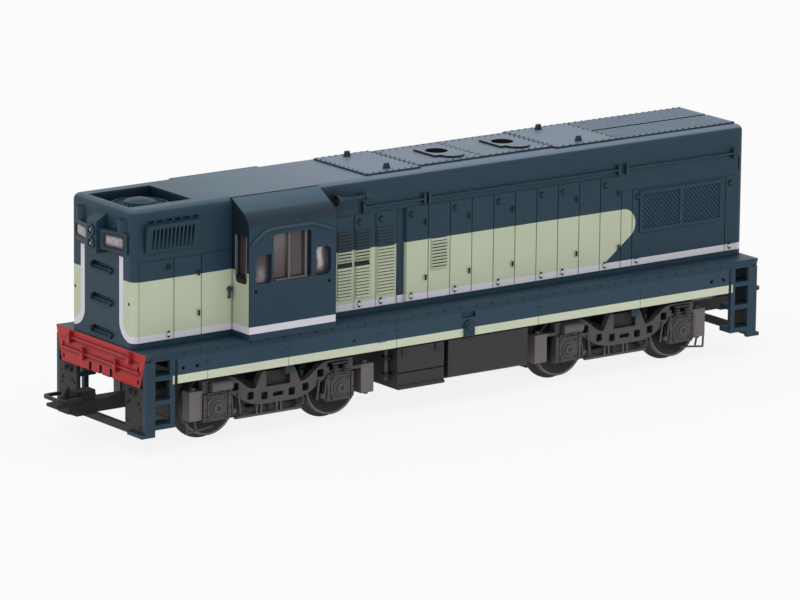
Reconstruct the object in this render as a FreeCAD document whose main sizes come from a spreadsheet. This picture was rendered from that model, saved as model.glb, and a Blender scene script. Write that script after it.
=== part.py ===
import FreeCAD, Part
import os
import Sketcher

# Model diesel locomotive with two bogies, in millimetres.
# X runs along the body with the short hood towards -X, Y across it, Z up from the floor
# that the wheel flanges stand on. The origin is below the middle of the deck.

sizes = {
    # wheels and axles
    "tread_radius": 5.85,
    "flange_depth": 0.9,
    "flange_width": 0.8,
    "wheel_width": 2.8,
    "rim_thickness": 0.9,
    "disc_recess": 0.8,
    "hub_radius": 1.8,
    "back_to_back": 14.4,
    "axle_radius": 1.1,
    "journal_radius": 0.7,
    "journal_inset": 0.4,
    "running_gap": 0.05,
    "wheelbase": 28.0,
    "bogie_centres": 82.0,
    # deck and sills
    "deck_top": 19.4,
    "deck_thickness": 1.5,
    "deck_half_width": 14.9,
    "end_overhang": 31.2,
    "sill_thickness": 1.1,
    "sill_depth": 4.7,
    "sill_hole_radius": 0.35,
    "sill_hole_inset": 1.9,
    "sill_hole_pitch": 3.1,
    "sill_hole_rise": 2.8,
    "sill_recess_length": 3.2,
    "sill_recess_height": 1.1,
    "sill_recess_depth": 0.5,
    "filler_radius": 1.2,
    "filler_depth": 0.4,
    "filler_cap_radius": 0.7,
    "filler_cap_depth": 0.3,
    "filler_rise": 1.9,
    "filler_offset": 1.5,
    # end beams
    "beam_thickness": 1.2,
    "beam_depth": 6.5,
    "beam_lip": 0.2,
    "beam_taper": 1.8,
    "ledge_height": 0.4,
    "ledge_depth": 0.35,
    "upper_ledge_drop": 1.4,
    "lower_ledge_drop": 3.7,
    "upper_bracket_offset": 10.0,
    "lower_bracket_offset": 5.5,
    "bracket_width": 0.9,
    "bracket_height": 2.2,
    "bracket_depth": 0.8,
    "bracket_slot": 0.5,
    "notch_width": 0.9,
    "notch_height": 1.7,
    "notch_depth": 0.4,
    "notch_pitch": 3.5,
    "beam_slot_offset": 12.5,
    "beam_slot_width": 0.5,
    "beam_slot_height": 0.9,
    "upper_slot_drop": 2.6,
    "lower_slot_drop": 5.0,
    # corner steps and pilot plates
    "step_width": 5.3,
    "step_post": 1.0,
    "step_end_post": 1.0,
    "step_depth": 3.4,
    "step_plate": 0.9,
    "step_bottom": 3.7,
    "lowest_tread_rise": 1.3,
    "tread_thickness": 0.9,
    "tread_rise": 4.6,
    "toe_depth": 0.8,
    "toe_width": 4.9,
    "toe_height": 0.7,
    "plate_inner": 8.2,
    "plate_thickness": 0.9,
    "plate_bolt_radius": 0.3,
    "plate_bolt_depth": 0.3,
    "plate_bolt_spacing": 3.0,
    "plate_bolt_height": 9.9,
    "guard_height": 1.4,
    "guard_gap": 0.1,
    # hoods
    "walkway_width": 4.5,
    "hood_setback": 0.3,
    "roof_top": 45.5,
    "roof_radius": 1.3,
    "hood_wall": 1.0,
    "recess_half_width": 7.0,
    "recess_setback": 1.5,
    "recess_length": 13.7,
    "recess_depth": 4.0,
    "foothold_half": 3.1,
    "foothold_height": 0.9,
    "foothold_depth": 0.7,
    "foothold_rise": 1.6,
    "foothold_pitch": 6.1,
    # doors on the hood sides
    "door_thickness": 0.15,
    "door_gap": 0.2,
    "door_foot": 1.2,
    "door_head_drop": 6.7,
    "short_door_gap": 1.6,
    "short_door_setback": 1.2,
    "first_short_door": 7.7,
    "second_short_door": 6.1,
    "louvred_door_start": 3.9,
    "louvred_door_width": 3.9,
    "louvred_door_step": 4.25,
    "last_louvred_door_offset": 13.1,
    "last_louvred_door_width": 4.7,
    "hood_step_offset": 18.0,
    "hood_step_width": 2.1,
    "hood_step_depth": 0.45,
    "engine_doors_offset": 20.2,
    "rear_panel_length": 30.6,
    "rear_panel_margin": 0.4,
    "rear_side_panel": 2.75,
    "rear_end_gap": 1.9,
    "latch_width": 0.45,
    "latch_height": 1.0,
    "latch_depth": 0.35,
    "latch_inset": 0.7,
    "lower_latch_rise": 4.2,
    "upper_latch_drop": 3.3,
    "hinge_width": 0.9,
    "hinge_height": 0.5,
    "hinge_inset": 1.2,
    "hinge_rise": 1.0,
    "upper_hinge_drop": 1.4,
    # door louvres
    "louvre_pitch": 0.62,
    "louvre_height": 0.46,
    "louvre_depth": 0.32,
    "louvre_margin": 0.35,
    "louvre_base": 0.1,
    "louvre_start": 2.3,
    "louvre_head": 2.5,
    "louvre_split_gap": 0.7,
    "small_louvre_start": 5.6,
    "small_louvre_band": 5.9,
    # louvre boxes beside the nose
    "nose_box_setback": 2.5,
    "nose_box_length": 12.0,
    "nose_box_drop": 8.2,
    "nose_box_height": 5.3,
    "nose_box_lip": 1.2,
    "nose_box_foot": 0.3,
    "nose_slot_pitch": 0.87,
    "nose_slot_width": 0.45,
    "nose_slot_rise": 0.6,
    "nose_slot_height": 3.9,
    "nose_slot_margin": 1.3,
    "nose_slot_left": 0.25,
    "nose_vent_start": 3.2,
    "nose_vent_pitch": 1.95,
    "nose_vent_length": 1.4,
    "nose_vent_height": 0.5,
    "nose_vent_rise": 0.2,
    "nose_vent_depth": 0.5,
    # radiator grilles on the sides
    "grille_setback": 26.1,
    "grille_length": 20.6,
    "grille_drop": 10.3,
    "grille_height": 8.2,
    "grille_depth": 0.25,
    "grille_border": 0.65,
    "grille_mullion": 0.8,
    "mesh_pitch": 0.7,
    "mesh_bar": 0.18,
    "mesh_layer": 0.09,
    # hand rails
    "rail_drop": 5.4,
    "rail_radius": 0.2,
    "rail_standoff": 0.35,
    "rail_bracket_width": 0.5,
    "rail_bracket_height": 2.0,
    "rail_post_radius": 0.15,
    "rail_start": 9.8,
    "rail_split": 24.4,
    "rail_gap": 0.6,
    "rear_rail_gap": 1.4,
    "rear_slot_inset": 1.2,
    "rear_slot_width": 0.3,
    "rear_slot_drop": 9.0,
    "rear_slot_height": 2.7,
    "rear_slot_depth": 0.5,
    "rear_rail_length": 27.2,
    "rail_end_setback": 2.7,
    # lamps and number boards on the nose
    "lamp_box_half": 1.6,
    "lamp_box_depth": 2.3,
    "lamp_box_drop": 9.2,
    "lamp_box_height": 6.0,
    "visor_height": 1.3,
    "lamp_radius": 0.75,
    "lamp_ring": 0.35,
    "lamp_ring_depth": 0.3,
    "lamp_spacing": 2.4,
    "lens_thickness": 0.6,
    "board_depth": 1.7,
    "board_end_depth": 0.4,
    "board_inner": 2.2,
    "board_half_width": 8.8,
    "board_drop": 8.3,
    "board_height": 3.8,
    "board_border": 0.8,
    "board_glass": 0.4,
    "board_glass_setback": 0.2,
    "board_corner": 0.6,
    "pod_radius": 1.4,
    "pod_inset": 0.5,
    "pod_offset": 6.9,
    "pod_height": 2.4,
    # fan in the short hood's roof
    "fan_radius": 5.6,
    "fan_ring": 0.4,
    "fan_ring_height": 2.7,
    "fan_dome_radius": 2.9,
    "fan_dome_height": 0.6,
    "fan_floor_rise": 0.3,
    "fan_drop": 0.2,
    "fin_thickness": 0.35,
    "fin_drop": 0.7,
    # plates, lugs and stacks on the long hood's roof
    "hatch_thickness": 0.35,
    "hatch_half_width": 8.6,
    "middle_hatch_half_width": 7.4,
    "hatch_gap": 0.3,
    "front_hatch_offset": 12.2,
    "front_hatch_length": 12.7,
    "rear_hatch_length": 15.2,
    "lug_height": 1.1,
    "lug_length": 1.7,
    "lug_width": 0.5,
    "lug_offset": 6.4,
    "front_lug_inset": 6.2,
    "rear_lug_inset": 8.2,
    "stack_bore": 2.2,
    "stack_wall": 0.3,
    "stack_depth": 1.4,
    "stack_front_inset": 9.6,
    "stack_rear_inset": 6.3,
    "flange_half_length": 2.9,
    "flange_half_width": 3.5,
    "flange_thickness": 0.4,
    "lid_radius": 2.5,
    "lid_offset": 3.5,
    "lid_shift": 0.9,
    "roof_grille_half": 8.6,
    "roof_grille_gap": 0.4,
    "roof_grille_thickness": 0.3,
    "roof_grille_setback": 1.2,
    "roof_grille_length": 28.5,
    # horn beside the long hood
    "horn_radius": 1.1,
    "horn_length": 8.0,
    "horn_throat": 0.32,
    "horn_bell": 1.4,
    "horn_body": 1.2,
    "horn_offset": 3.0,
    "horn_standoff": 1.2,
    "horn_drop": 3.1,
    "horn_foot": 0.8,
    # cab
    "cab_setback": 22.2,
    "cab_length": 19.6,
    "cab_overhang": 1.2,
    "cab_wall": 1.0,
    "cab_roof_drop": 3.4,
    "cab_roof_radius": 4.0,
    "roof_panel_half": 10.1,
    "roof_panel_gap": 0.15,
    "window_head": 3.2,
    "side_window_height": 5.4,
    "main_window_height": 9.0,
    "quarter_window_inset": 1.4,
    "quarter_window_length": 3.6,
    "main_window_inset": 5.4,
    "window_pillar": 1.0,
    "rear_window_inset": 1.1,
    "rear_window_length": 3.5,
    "window_chamfer": 1.0,
    "window_corner": 0.6,
    "large_window_corner": 1.2,
    "end_window_inner": 11.6,
    "end_window_outer_inset": 0.8,
    "end_window_corner": 0.8,
    "frame_bar": 0.35,
    "end_bar_inset": 1.2,
    "frame_depth": 0.4,
    "frame_setback": 0.3,
    "mullion_offset": 3.6,
    "glass_thickness": 0.6,
    "glass_margin": 0.6,
    "glass_gap": 0.1,
    "drip_rail_width": 0.4,
    "drip_rail_depth": 0.35,
    "drip_rail_rise": 1.0,
    "drip_front_inset": 0.4,
    "drip_front_run": 3.1,
    "drip_front_fall": 2.6,
    "drip_rear_inset": 1.0,
    "drip_rear_run": 4.6,
    "drip_rear_fall": 1.6,
    "drip_bend": 6.0,
    "cab_hole_radius": 0.35,
    "cab_hole_inset": 1.5,
    "cab_hole_drop": 1.3,
    "cab_floor_thickness": 1.0,
    # bogies
    "frame_clearance": 1.2,
    "frame_thickness": 1.5,
    "low_beam_drop": 0.85,
    "low_beam_rise": 2.4,
    "high_beam_rise": 3.05,
    "high_beam_height": 2.4,
    "low_beam_half": 5.8,
    "low_beam_upper_half": 6.3,
    "neck_head": 2.0,
    "neck_upper_head": 3.8,
    "frame_end": 3.0,
    "neck_radius": 9.0,
    "upper_neck_radius": 3.2,
    "hole_half": 0.75,
    "hole_corner": 0.35,
    "inner_hole_offset": 3.1,
    "inner_hole_rise": 0.75,
    "outer_hole_offset": 6.25,
    "outer_hole_rise": 1.15,
    "neck_hole_inset": 4.35,
    "neck_hole_rise": 3.3,
    "end_hole_inset": 2.1,
    "end_hole_pitch": 2.5,
    "end_hole_rise": 4.3,
    "centre_slot_length": 2.4,
    "centre_slot_height": 0.8,
    "axlebox_half": 2.2,
    "axlebox_drop": 1.95,
    "axlebox_depth": 0.4,
    "cover_radius": 1.6,
    "cover_depth": 0.2,
    "cap_radius": 1.0,
    "cap_bore": 0.45,
    "cap_depth": 0.45,
    "journal_bore_gap": 0.3,
    "pedestal_width": 0.6,
    "pedestal_gap": 0.15,
    "pedestal_tie": 0.45,
    "pedestal_drop": 2.55,
    "cylinder_radius": 1.05,
    "cylinder_length": 4.6,
    "cylinder_offset": 11.0,
    "cylinder_rise": 4.15,
    "cylinder_standoff": 0.3,
    "hanger_width": 0.45,
    "hanger_gap": 0.5,
    "hanger_drop": 2.9,
    "hanger_spacing": 4.5,
    "hanger_shift": 2.05,
    "brake_bar_half": 7.5,
    "brake_bar_height": 0.45,
    "bolster_half": 2.6,
    "bolster_height": 2.75,
    "post_inner": 2.7,
    "post_head": 1.0,
    "post_foot": 2.4,
    "gearbox_half_width": 5.6,
    "gearbox_drop": 3.15,
    "gearbox_rise": 6.25,
    "gearbox_overhang": 4.6,
    "gearbox_bevel": 1.0,
    "pivot_radius": 2.6,
    "pivot_depth": 4.0,
    "pivot_gap": 0.3,
    "pivot_pad_half_length": 6.0,
    "pivot_pad_half_width": 9.0,
    "sand_box_width": 2.9,
    "sand_box_drop": 1.95,
    "sand_box_height": 5.6,
    "sand_box_depth": 2.3,
    "sand_cap_radius": 0.55,
    "sand_cap_height": 0.5,
    "inner_sand_box": 19.0,
    "outer_sand_box": 17.1,
    # couplers
    "coupler_pivot": 22.0,
    "coupler_pin_radius": 1.2,
    "coupler_eye_radius": 2.4,
    "bracket_half_width": 2.5,
    "bracket_gap": 0.2,
    "bracket_thickness": 1.2,
    "bracket_overlap": 1.0,
    "arm_half_width": 1.5,
    "arm_drop": 0.45,
    "arm_height": 2.4,
    "head_front": 39.5,
    "head_length": 2.2,
    "head_half_width": 1.8,
    "head_rise": 0.4,
    "head_height": 2.4,
    "lug_half": 1.3,
    "lug_front": 2.1,
    "lug_back": 6.3,
    "lug_foot": 0.4,
    "lug_head": 1.2,
    "hook_rise": 2.5,
    "hook_inset": 0.25,
    "hook_beak": 0.35,
    "beak_height": 1.2,
    "hook_half_width": 0.5,
    "hook_thickness": 0.9,
    "loop_front": 42.1,
    "loop_half_width": 3.3,
    "loop_bar": 0.6,
    "loop_thickness": 0.6,
    "loop_corner": 1.2,
    "loop_rise": 3.05,
    "loop_inset": 3.2,
    "tongue_half_width": 1.75,
    "tongue_length": 2.5,
    "tongue_thickness": 0.6,
    "tongue_drop": 0.5,
    # tank and boxes under the deck
    "tank_swing_gap": 3.3,
    "tank_clearance": 0.3,
    "tank_drop": 12.6,
    "tank_setback": 0.2,
    "tank_corner": 1.2,
    "box_swing_gap": 4.1,
    "box_length": 10.9,
    "box_drop": 13.0,
    "box_flange": 0.3,
    "box_flange_height": 0.6,
    "box_groove_rise": 3.0,
    "box_groove": 0.3,
    "box_hinge_depth": 0.3,
    "box_hinge_inset": 1.0,
    "box_hinge_width": 1.1,
    "box_hinge_height": 1.4,
    "tank_gap": 1.0,
    "pipe_radius": 0.4,
    "pipe_setback": 1.0,
    "pipe_drop": 11.4,
    "pipe_offset": 12.4,
    # motor and ballast inside the long hood
    "drive_half_width": 8.0,
    "drive_start": 10.4,
    "drive_end": 11.9,
    "drive_height": 14.0,
}


class Size:
    # a length with the sheet expression that gives it
    def __init__(self, value, text=None):
        self.value = float(value)
        self.text = text or repr(self.value)

    def __float__(self):
        return self.value

    def __neg__(self):
        return Size(-self.value, f"(-{self.text})")

    def __add__(self, other):
        other = length(other)
        return Size(self.value + other.value, f"({self.text} + {other.text})")

    def __sub__(self, other):
        other = length(other)
        return Size(self.value - other.value, f"({self.text} - {other.text})")

    def __mul__(self, other):
        other = length(other)
        return Size(self.value * other.value, f"({self.text} * {other.text})")

    def __truediv__(self, other):
        other = length(other)
        return Size(self.value / other.value, f"({self.text} / {other.text})")

    __radd__ = __add__
    __rmul__ = __mul__

    def __rsub__(self, other):
        return length(other) - self


def length(value):
    return value if isinstance(value, Size) else Size(value)


def span(first, second):
    return sorted((length(first), length(second)), key=float)


class Sizes:
    # the driving dimensions as attributes, each tied to its cell
    def __init__(self, values):
        for name, value in values.items():
            setattr(self, name, Size(value, f"Sizes.{name}"))


doc = FreeCAD.newDocument("locomotive")
sheet = doc.addObject("Spreadsheet::Sheet", "Sizes")
for row, (name, value) in enumerate(sizes.items(), start=1):
    sheet.set(f"A{row}", name)
    sheet.set(f"B{row}", str(value))
    sheet.setAlias(f"B{row}", name)
doc.recompute()

d = Sizes(sizes)
nodes = []

# Places that several pieces share

bogie_centre = d.bogie_centres / 2
half_base = d.wheelbase / 2
end_face = bogie_centre + d.end_overhang
beam_back = end_face - d.beam_thickness
beam_bottom = d.deck_top - d.beam_depth
sill_top = d.deck_top - d.deck_thickness
sill_bottom = sill_top - d.sill_depth
step_inner = beam_back - d.step_width
post_inner_face = d.deck_half_width - d.step_plate
hood_half = d.deck_half_width - d.walkway_width
hood_end = end_face - d.hood_setback
cab_front = end_face - d.cab_setback
cab_rear = cab_front - d.cab_length
cab_half = d.deck_half_width + d.cab_overhang
door_bottom = d.deck_top + d.door_foot
door_top = d.roof_top - d.door_head_drop
door_face = hood_half + d.door_thickness
grille_top = d.roof_top - d.grille_drop
engine_doors = 10
nose_vents = 6
doors_end = hood_end - d.rear_panel_length
door_pitch = (doors_end + cab_rear - d.engine_doors_offset) / engine_doors
hatch_top = d.roof_top + d.hatch_thickness
stack_hole = d.stack_bore + d.stack_wall + d.running_gap
axle_height = d.tread_radius + d.flange_depth
wheel_face = d.back_to_back / 2 + d.wheel_width
frame_inner = wheel_face + d.frame_clearance
frame_outer = frame_inner + d.frame_thickness
journal_end = frame_outer - d.journal_inset
gearbox_top = axle_height + d.gearbox_rise
arm_bottom = axle_height - d.arm_drop

# how far a cutting tool runs past what it cuts
past = 1


# Helpers

def tie(item, prop, value):
    item.setExpression(prop, length(value).text)


def place(item, x=0, y=0, z=0):
    for axis, value in zip("xyz", (x, y, z)):
        tie(item, f"Placement.Base.{axis}", value)


def block(name, x, y, z):
    item = doc.addObject("Part::Box", name)
    for prop, (low, high) in zip(("Length", "Width", "Height"), (x, y, z)):
        tie(item, prop, length(high) - low)
    place(item, x[0], y[0], z[0])
    return item


def cylinder(name, radius, height, base, axis="z"):
    item = doc.addObject("Part::Cylinder", name)
    turn = {"z": (0, 0, 0), "x": (0, 90, 0), "y": (0, 0, -90)}[axis]
    item.Placement = FreeCAD.Placement(FreeCAD.Vector(), FreeCAD.Rotation(*turn))
    tie(item, "Radius", radius)
    tie(item, "Height", height)
    place(item, *base)
    return item


def fuse(name, *pieces):
    if len(pieces) == 1:
        return pieces[0]
    item = doc.addObject("Part::MultiFuse", name)
    item.Shapes = list(pieces)
    return item


def cut(name, base, *tools):
    item = doc.addObject("Part::Cut", name)
    item.Base = base
    item.Tool = fuse(f"{name}_tools", *tools)
    return item


def common(name, first, second):
    item = doc.addObject("Part::Common", name)
    item.Base = first
    item.Tool = second
    return item


def mirror(name, source, normal=(0, 1, 0), base_x=0):
    item = doc.addObject("Part::Mirroring", name)
    item.Source = source
    item.Normal = normal
    tie(item, "Base.x", base_x)
    return item


def both_sides(name, *pieces):
    # the pieces and their likenesses on the other side of the body
    return list(pieces) + [mirror(f"{name}_mirrored_{i}", piece) for i, piece in enumerate(pieces)]


def node(label, *pieces):
    item = doc.addObject("Part::Compound", label)
    item.Links = list(pieces)
    item.Label = label
    nodes.append(item)
    return item


def new_body(name):
    return doc.addObject("PartDesign::Body", name)


def origin_feature(body, role):
    return next(f for f in body.Origin.OriginFeatures if f.Role == role)


def sketch_on(body, name, plane, offset=0):
    item = body.newObject("Sketcher::SketchObject", name)
    item.AttachmentSupport = [(origin_feature(body, plane), "")]
    item.MapMode = "FlatFace"
    tie(item, "AttachmentOffset.Base.z", offset)
    return item


def polygon(sketch, points):
    # straight outline whose corners are tied to the sheet, two distances each
    first = sketch.GeometryCount
    count = len(points)
    corners = [FreeCAD.Vector(float(length(u)), float(length(v)), 0) for u, v in points]
    for i in range(count):
        sketch.addGeometry(Part.LineSegment(corners[i], corners[(i + 1) % count]), False)
    for i in range(count):
        sketch.addConstraint(Sketcher.Constraint("Coincident", first + i, 2, first + (i + 1) % count, 1))
    for i, (u, v) in enumerate(points):
        for kind, value in (("DistanceX", u), ("DistanceY", v)):
            index = sketch.addConstraint(Sketcher.Constraint(kind, first + i, 1, float(length(value))))
            if isinstance(value, Size):
                tie(sketch, f"Constraints[{index}]", value)


def rectangle(u, v):
    return [(u[0], v[0]), (u[1], v[0]), (u[1], v[1]), (u[0], v[1])]


def feature(body, kind, name, sketch, extent):
    item = body.newObject(f"PartDesign::{kind}", name)
    item.Profile = sketch
    tie(item, "Length", extent)
    sketch.Visibility = False
    return item


def prism(name, plane, offset, points, extent):
    # a body padded from one straight outline; the pad is returned for later edges
    body = new_body(name)
    sketch = sketch_on(body, f"{name}_outline", plane, offset)
    polygon(sketch, points)
    return body, feature(body, "Pad", f"{name}_pad", sketch, extent)


def round_edges(body, name, base, radius, chosen):
    # fillet on the edges of a finished step that the given test picks
    doc.recompute()
    picked = [f"Edge{i}" for i, edge in enumerate(base.Shape.Edges, start=1) if chosen(edge)]
    item = body.newObject("PartDesign::Fillet", name)
    item.Base = (base, picked)
    tie(item, "Radius", radius)
    return item


def along(edge, axis):
    direction = edge.tangentAt(edge.FirstParameter)
    return abs(getattr(direction, axis)) > 0.999


def middle_of(edge):
    return edge.valueAt((edge.FirstParameter + edge.LastParameter) / 2)


def near(value, target):
    return abs(value - float(target)) < 0.01


def revolved(name, plane, axis, points):
    body = new_body(name)
    section = sketch_on(body, f"{name}_section", plane)
    polygon(section, points)
    turned = body.newObject("PartDesign::Revolution", f"{name}_turned")
    turned.Profile = section
    turned.ReferenceAxis = (section, [axis])
    turned.Angle = 360
    return body


def row(body, name, step, sketch, axis, pitch, count):
    # equal steps of one feature along a sketch axis
    item = body.newObject("PartDesign::LinearPattern", name)
    item.Originals = [step]
    item.Direction = (sketch, [axis])
    item.Occurrences = count
    tie(item, "Length", pitch * (count - 1))
    body.Tip = item
    return item


# Deck, sills and ends

def make_deck():
    deck = block("deck_plate", (-beam_back, beam_back), (-d.deck_half_width, d.deck_half_width),
                 (sill_top, d.deck_top))
    node("walkway_deck", deck)


def make_sills():
    inner = d.deck_half_width - d.sill_thickness
    sill = block("sill_plate", (-step_inner, step_inner), (inner, d.deck_half_width), (sill_bottom, sill_top))
    cuts = []
    first = step_inner - d.sill_hole_inset
    for i, x in enumerate((-first, -first + d.sill_hole_pitch, first - d.sill_hole_pitch, first)):
        cuts.append(cylinder(f"sill_hole_{i}", d.sill_hole_radius, d.sill_thickness + 2 * past,
                             (x, inner - past, sill_bottom + d.sill_hole_rise), "y"))
    half = d.sill_recess_length / 2
    cuts.append(block("sill_recess", (d.filler_offset - half, d.filler_offset + half),
                      (d.deck_half_width - d.sill_recess_depth, d.deck_half_width + past),
                      (sill_top - d.sill_recess_height, sill_top + past)))
    node("side_sills", *both_sides("sill", cut("sill_cut", sill, *cuts)))


def make_bolsters():
    bottom = gearbox_top + d.pivot_gap
    half_x, half_y = d.pivot_pad_half_length, d.pivot_pad_half_width
    parts = []
    for name, x in (("front", -bogie_centre), ("rear", bogie_centre)):
        pad = block(f"bolster_pad_{name}", (x - half_x, x + half_x), (-half_y, half_y), (bottom, sill_top))
        pin = cylinder(f"bolster_pin_{name}", d.pivot_radius, d.pivot_depth, (x, 0, bottom - d.pivot_depth))
        parts.append(fuse(f"bolster_{name}", pad, pin))
    node("bogie_bolsters", *parts)


def beam_half(z):
    # half the width of an end beam, which narrows towards its lower edge
    return d.deck_half_width + d.beam_lip - (d.deck_top - z) * (d.beam_lip + d.beam_taper) / d.beam_depth


def make_beam(label, side):
    # end plate with two ledges between slotted brackets, and notches in its lower edge
    face = side * end_face
    lower_half = beam_half(beam_bottom)
    upper_half = beam_half(d.deck_top)
    outline = [(-lower_half, beam_bottom), (lower_half, beam_bottom), (upper_half, d.deck_top),
               (-upper_half, d.deck_top)]
    plate, _ = prism(f"{label}_plate", "YZ_Plane", min(face, side * beam_back, key=float), outline,
                     d.beam_thickness)
    raised = [plate]
    removed = []
    upper_reach = d.upper_bracket_offset
    for row_name, drop, offset, reach in (("upper", d.upper_ledge_drop, upper_reach, upper_reach),
                                          ("lower", d.lower_ledge_drop, d.lower_bracket_offset, lower_half)):
        z = d.deck_top - drop
        raised.append(block(f"{label}_{row_name}_ledge", span(face, face + side * d.ledge_depth),
                            (-reach, reach), (z - d.ledge_height / 2, z + d.ledge_height / 2)))
        for tag, y in (("right", -offset), ("left", offset)):
            half = d.bracket_width / 2
            tall = d.bracket_height / 2
            raised.append(block(f"{label}_{row_name}_bracket_{tag}", span(face, face + side * d.bracket_depth),
                                (y - half, y + half), (z - tall, z + tall)))
            removed.append(block(f"{label}_{row_name}_bracket_slot_{tag}",
                                 span(face + side * d.ledge_depth, face + side * (d.bracket_depth + past)),
                                 (y - d.bracket_slot / 2, y + half + past),
                                 (z + d.ledge_height / 2, z + tall - d.ledge_height / 2)))
    inner = span(face - side * d.notch_depth, face + side * past)
    for i in (-1, 0, 1):
        y = i * d.notch_pitch
        removed.append(block(f"{label}_notch_{i + 1}", inner, (y - d.notch_width / 2, y + d.notch_width / 2),
                             (beam_bottom - past, beam_bottom + d.notch_height)))
    for row_name, drop in (("upper", d.upper_slot_drop), ("lower", d.lower_slot_drop)):
        for tag, y in (("right", -d.beam_slot_offset), ("left", d.beam_slot_offset)):
            z = d.deck_top - drop
            half = d.beam_slot_width / 2
            removed.append(block(f"{label}_{row_name}_slot_{tag}", inner, (y - half, y + half),
                                 (z - d.beam_slot_height, z)))
    node(label, cut(f"{label}_cut", fuse(f"{label}_raised", *raised), *removed))


def make_pilot(label, side):
    # grey plates either side of the coupler, joined by the guard bar near the rails
    face = side * end_face
    x = span(face, face - side * d.plate_thickness)
    guard_half = d.deck_half_width - d.toe_width - d.guard_gap
    pieces = [block(f"{label}_guard", x, (-guard_half, guard_half),
                    (d.step_bottom, d.step_bottom + d.guard_height))]
    bolts = []
    bolt_y = d.plate_inner + d.plate_bolt_spacing / 2
    for name, hand in (("right", -1), ("left", 1)):
        pieces.append(block(f"{label}_plate_{name}", x, span(hand * d.plate_inner, hand * post_inner_face),
                            (d.step_bottom + d.toe_height, beam_bottom)))
        for i, y in enumerate((bolt_y, bolt_y + d.plate_bolt_spacing)):
            start = min(face + side * past, face - side * d.plate_bolt_depth, key=float)
            bolts.append(cylinder(f"{label}_bolt_{name}_{i}", d.plate_bolt_radius, d.plate_bolt_depth + past,
                                  (start, hand * y, d.plate_bolt_height), "x"))
    node(label, cut(f"{label}_cut", fuse(f"{label}_joined", *pieces), *bolts))


def make_steps(label, side_x, side_y):
    # side plate with three openings, a tread inwards at the foot of each, and a toe below the end post
    y = span(side_y * post_inner_face, side_y * d.deck_half_width)
    plate = block(f"{label}_plate", span(side_x * step_inner, side_x * beam_back), y, (d.step_bottom, sill_top))
    post_x = side_x * (beam_back - d.step_end_post)
    opening = span(side_x * (step_inner + d.step_post), post_x)
    low = d.step_bottom + d.lowest_tread_rise
    holes = [block(f"{label}_clearance", span(side_x * (step_inner - past), post_x), (y[0] - past, y[1] + past),
                   (d.step_bottom - past, low))]
    tread_y = span(side_y * (d.deck_half_width - d.step_depth), side_y * d.deck_half_width)
    pieces = []
    for i in range(3):
        foot = low + d.tread_thickness + i * d.tread_rise
        top = foot + d.tread_rise - d.tread_thickness if i < 2 else sill_top
        holes.append(block(f"{label}_hole_{i}", opening, (y[0] - past, y[1] + past), (foot, top)))
        pieces.append(block(f"{label}_tread_{i}", span(side_x * step_inner, side_x * beam_back), tread_y,
                            (foot - d.tread_thickness, foot)))
    # the post runs on beside the pilot plate and up along the beam's slanting edge
    lean = d.beam_depth / (d.beam_lip + d.beam_taper)
    meeting = beam_bottom + (d.beam_taper - d.step_plate - d.running_gap) * lean
    outline = [(post_inner_face, d.step_bottom), (d.deck_half_width, d.step_bottom),
               (d.deck_half_width, sill_top), (beam_half(sill_top) + d.running_gap, sill_top),
               (post_inner_face, meeting)]
    ahead, _ = prism(f"{label}_post", "YZ_Plane", min(side_x * beam_back, side_x * end_face, key=float),
                     [(side_y * u, z) for u, z in outline], d.beam_thickness)
    pieces.append(ahead)
    pieces.append(block(f"{label}_toe", span(side_x * beam_back, side_x * (end_face + d.toe_depth)),
                        span(side_y * (d.deck_half_width - d.toe_width), side_y * d.deck_half_width),
                        (d.step_bottom, d.step_bottom + d.toe_height)))
    node(label, fuse(f"{label}_joined", cut(f"{label}_frame", plate, *holes), *pieces))


# Hoods

def hood_shell(name, x0, x1, rounded_end):
    body, outer = prism(name, "XY_Plane", d.deck_top, rectangle((x0, x1), (-hood_half, hood_half)),
                        d.roof_top - d.deck_top)

    def chosen(edge):
        middle = middle_of(edge)
        at_top = near(middle.z, d.roof_top)
        at_end = near(middle.x, rounded_end)
        if along(edge, "x"):
            return at_top
        return at_end and (at_top or along(edge, "z"))

    round_edges(body, f"{name}_rounding", outer, d.roof_radius, chosen)
    inside = sketch_on(body, f"{name}_inside", "XY_Plane", d.deck_top)
    inner_half = hood_half - d.hood_wall
    polygon(inside, rectangle((x0 + d.hood_wall, x1 - d.hood_wall), (-inner_half, inner_half)))
    hollow = feature(body, "Pocket", f"{name}_hollow", inside, d.roof_top - d.deck_top - d.hood_wall)
    hollow.Reversed = True
    return body


recess_start = hood_end - d.recess_setback
recess_end = recess_start - d.recess_length
stack_places = (-cab_rear + d.front_hatch_offset + d.front_hatch_length + d.hatch_gap + d.stack_front_inset,
                hood_end - d.roof_grille_setback - d.roof_grille_length - 2 * d.hatch_gap
                - d.rear_hatch_length - d.stack_rear_inset)


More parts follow.
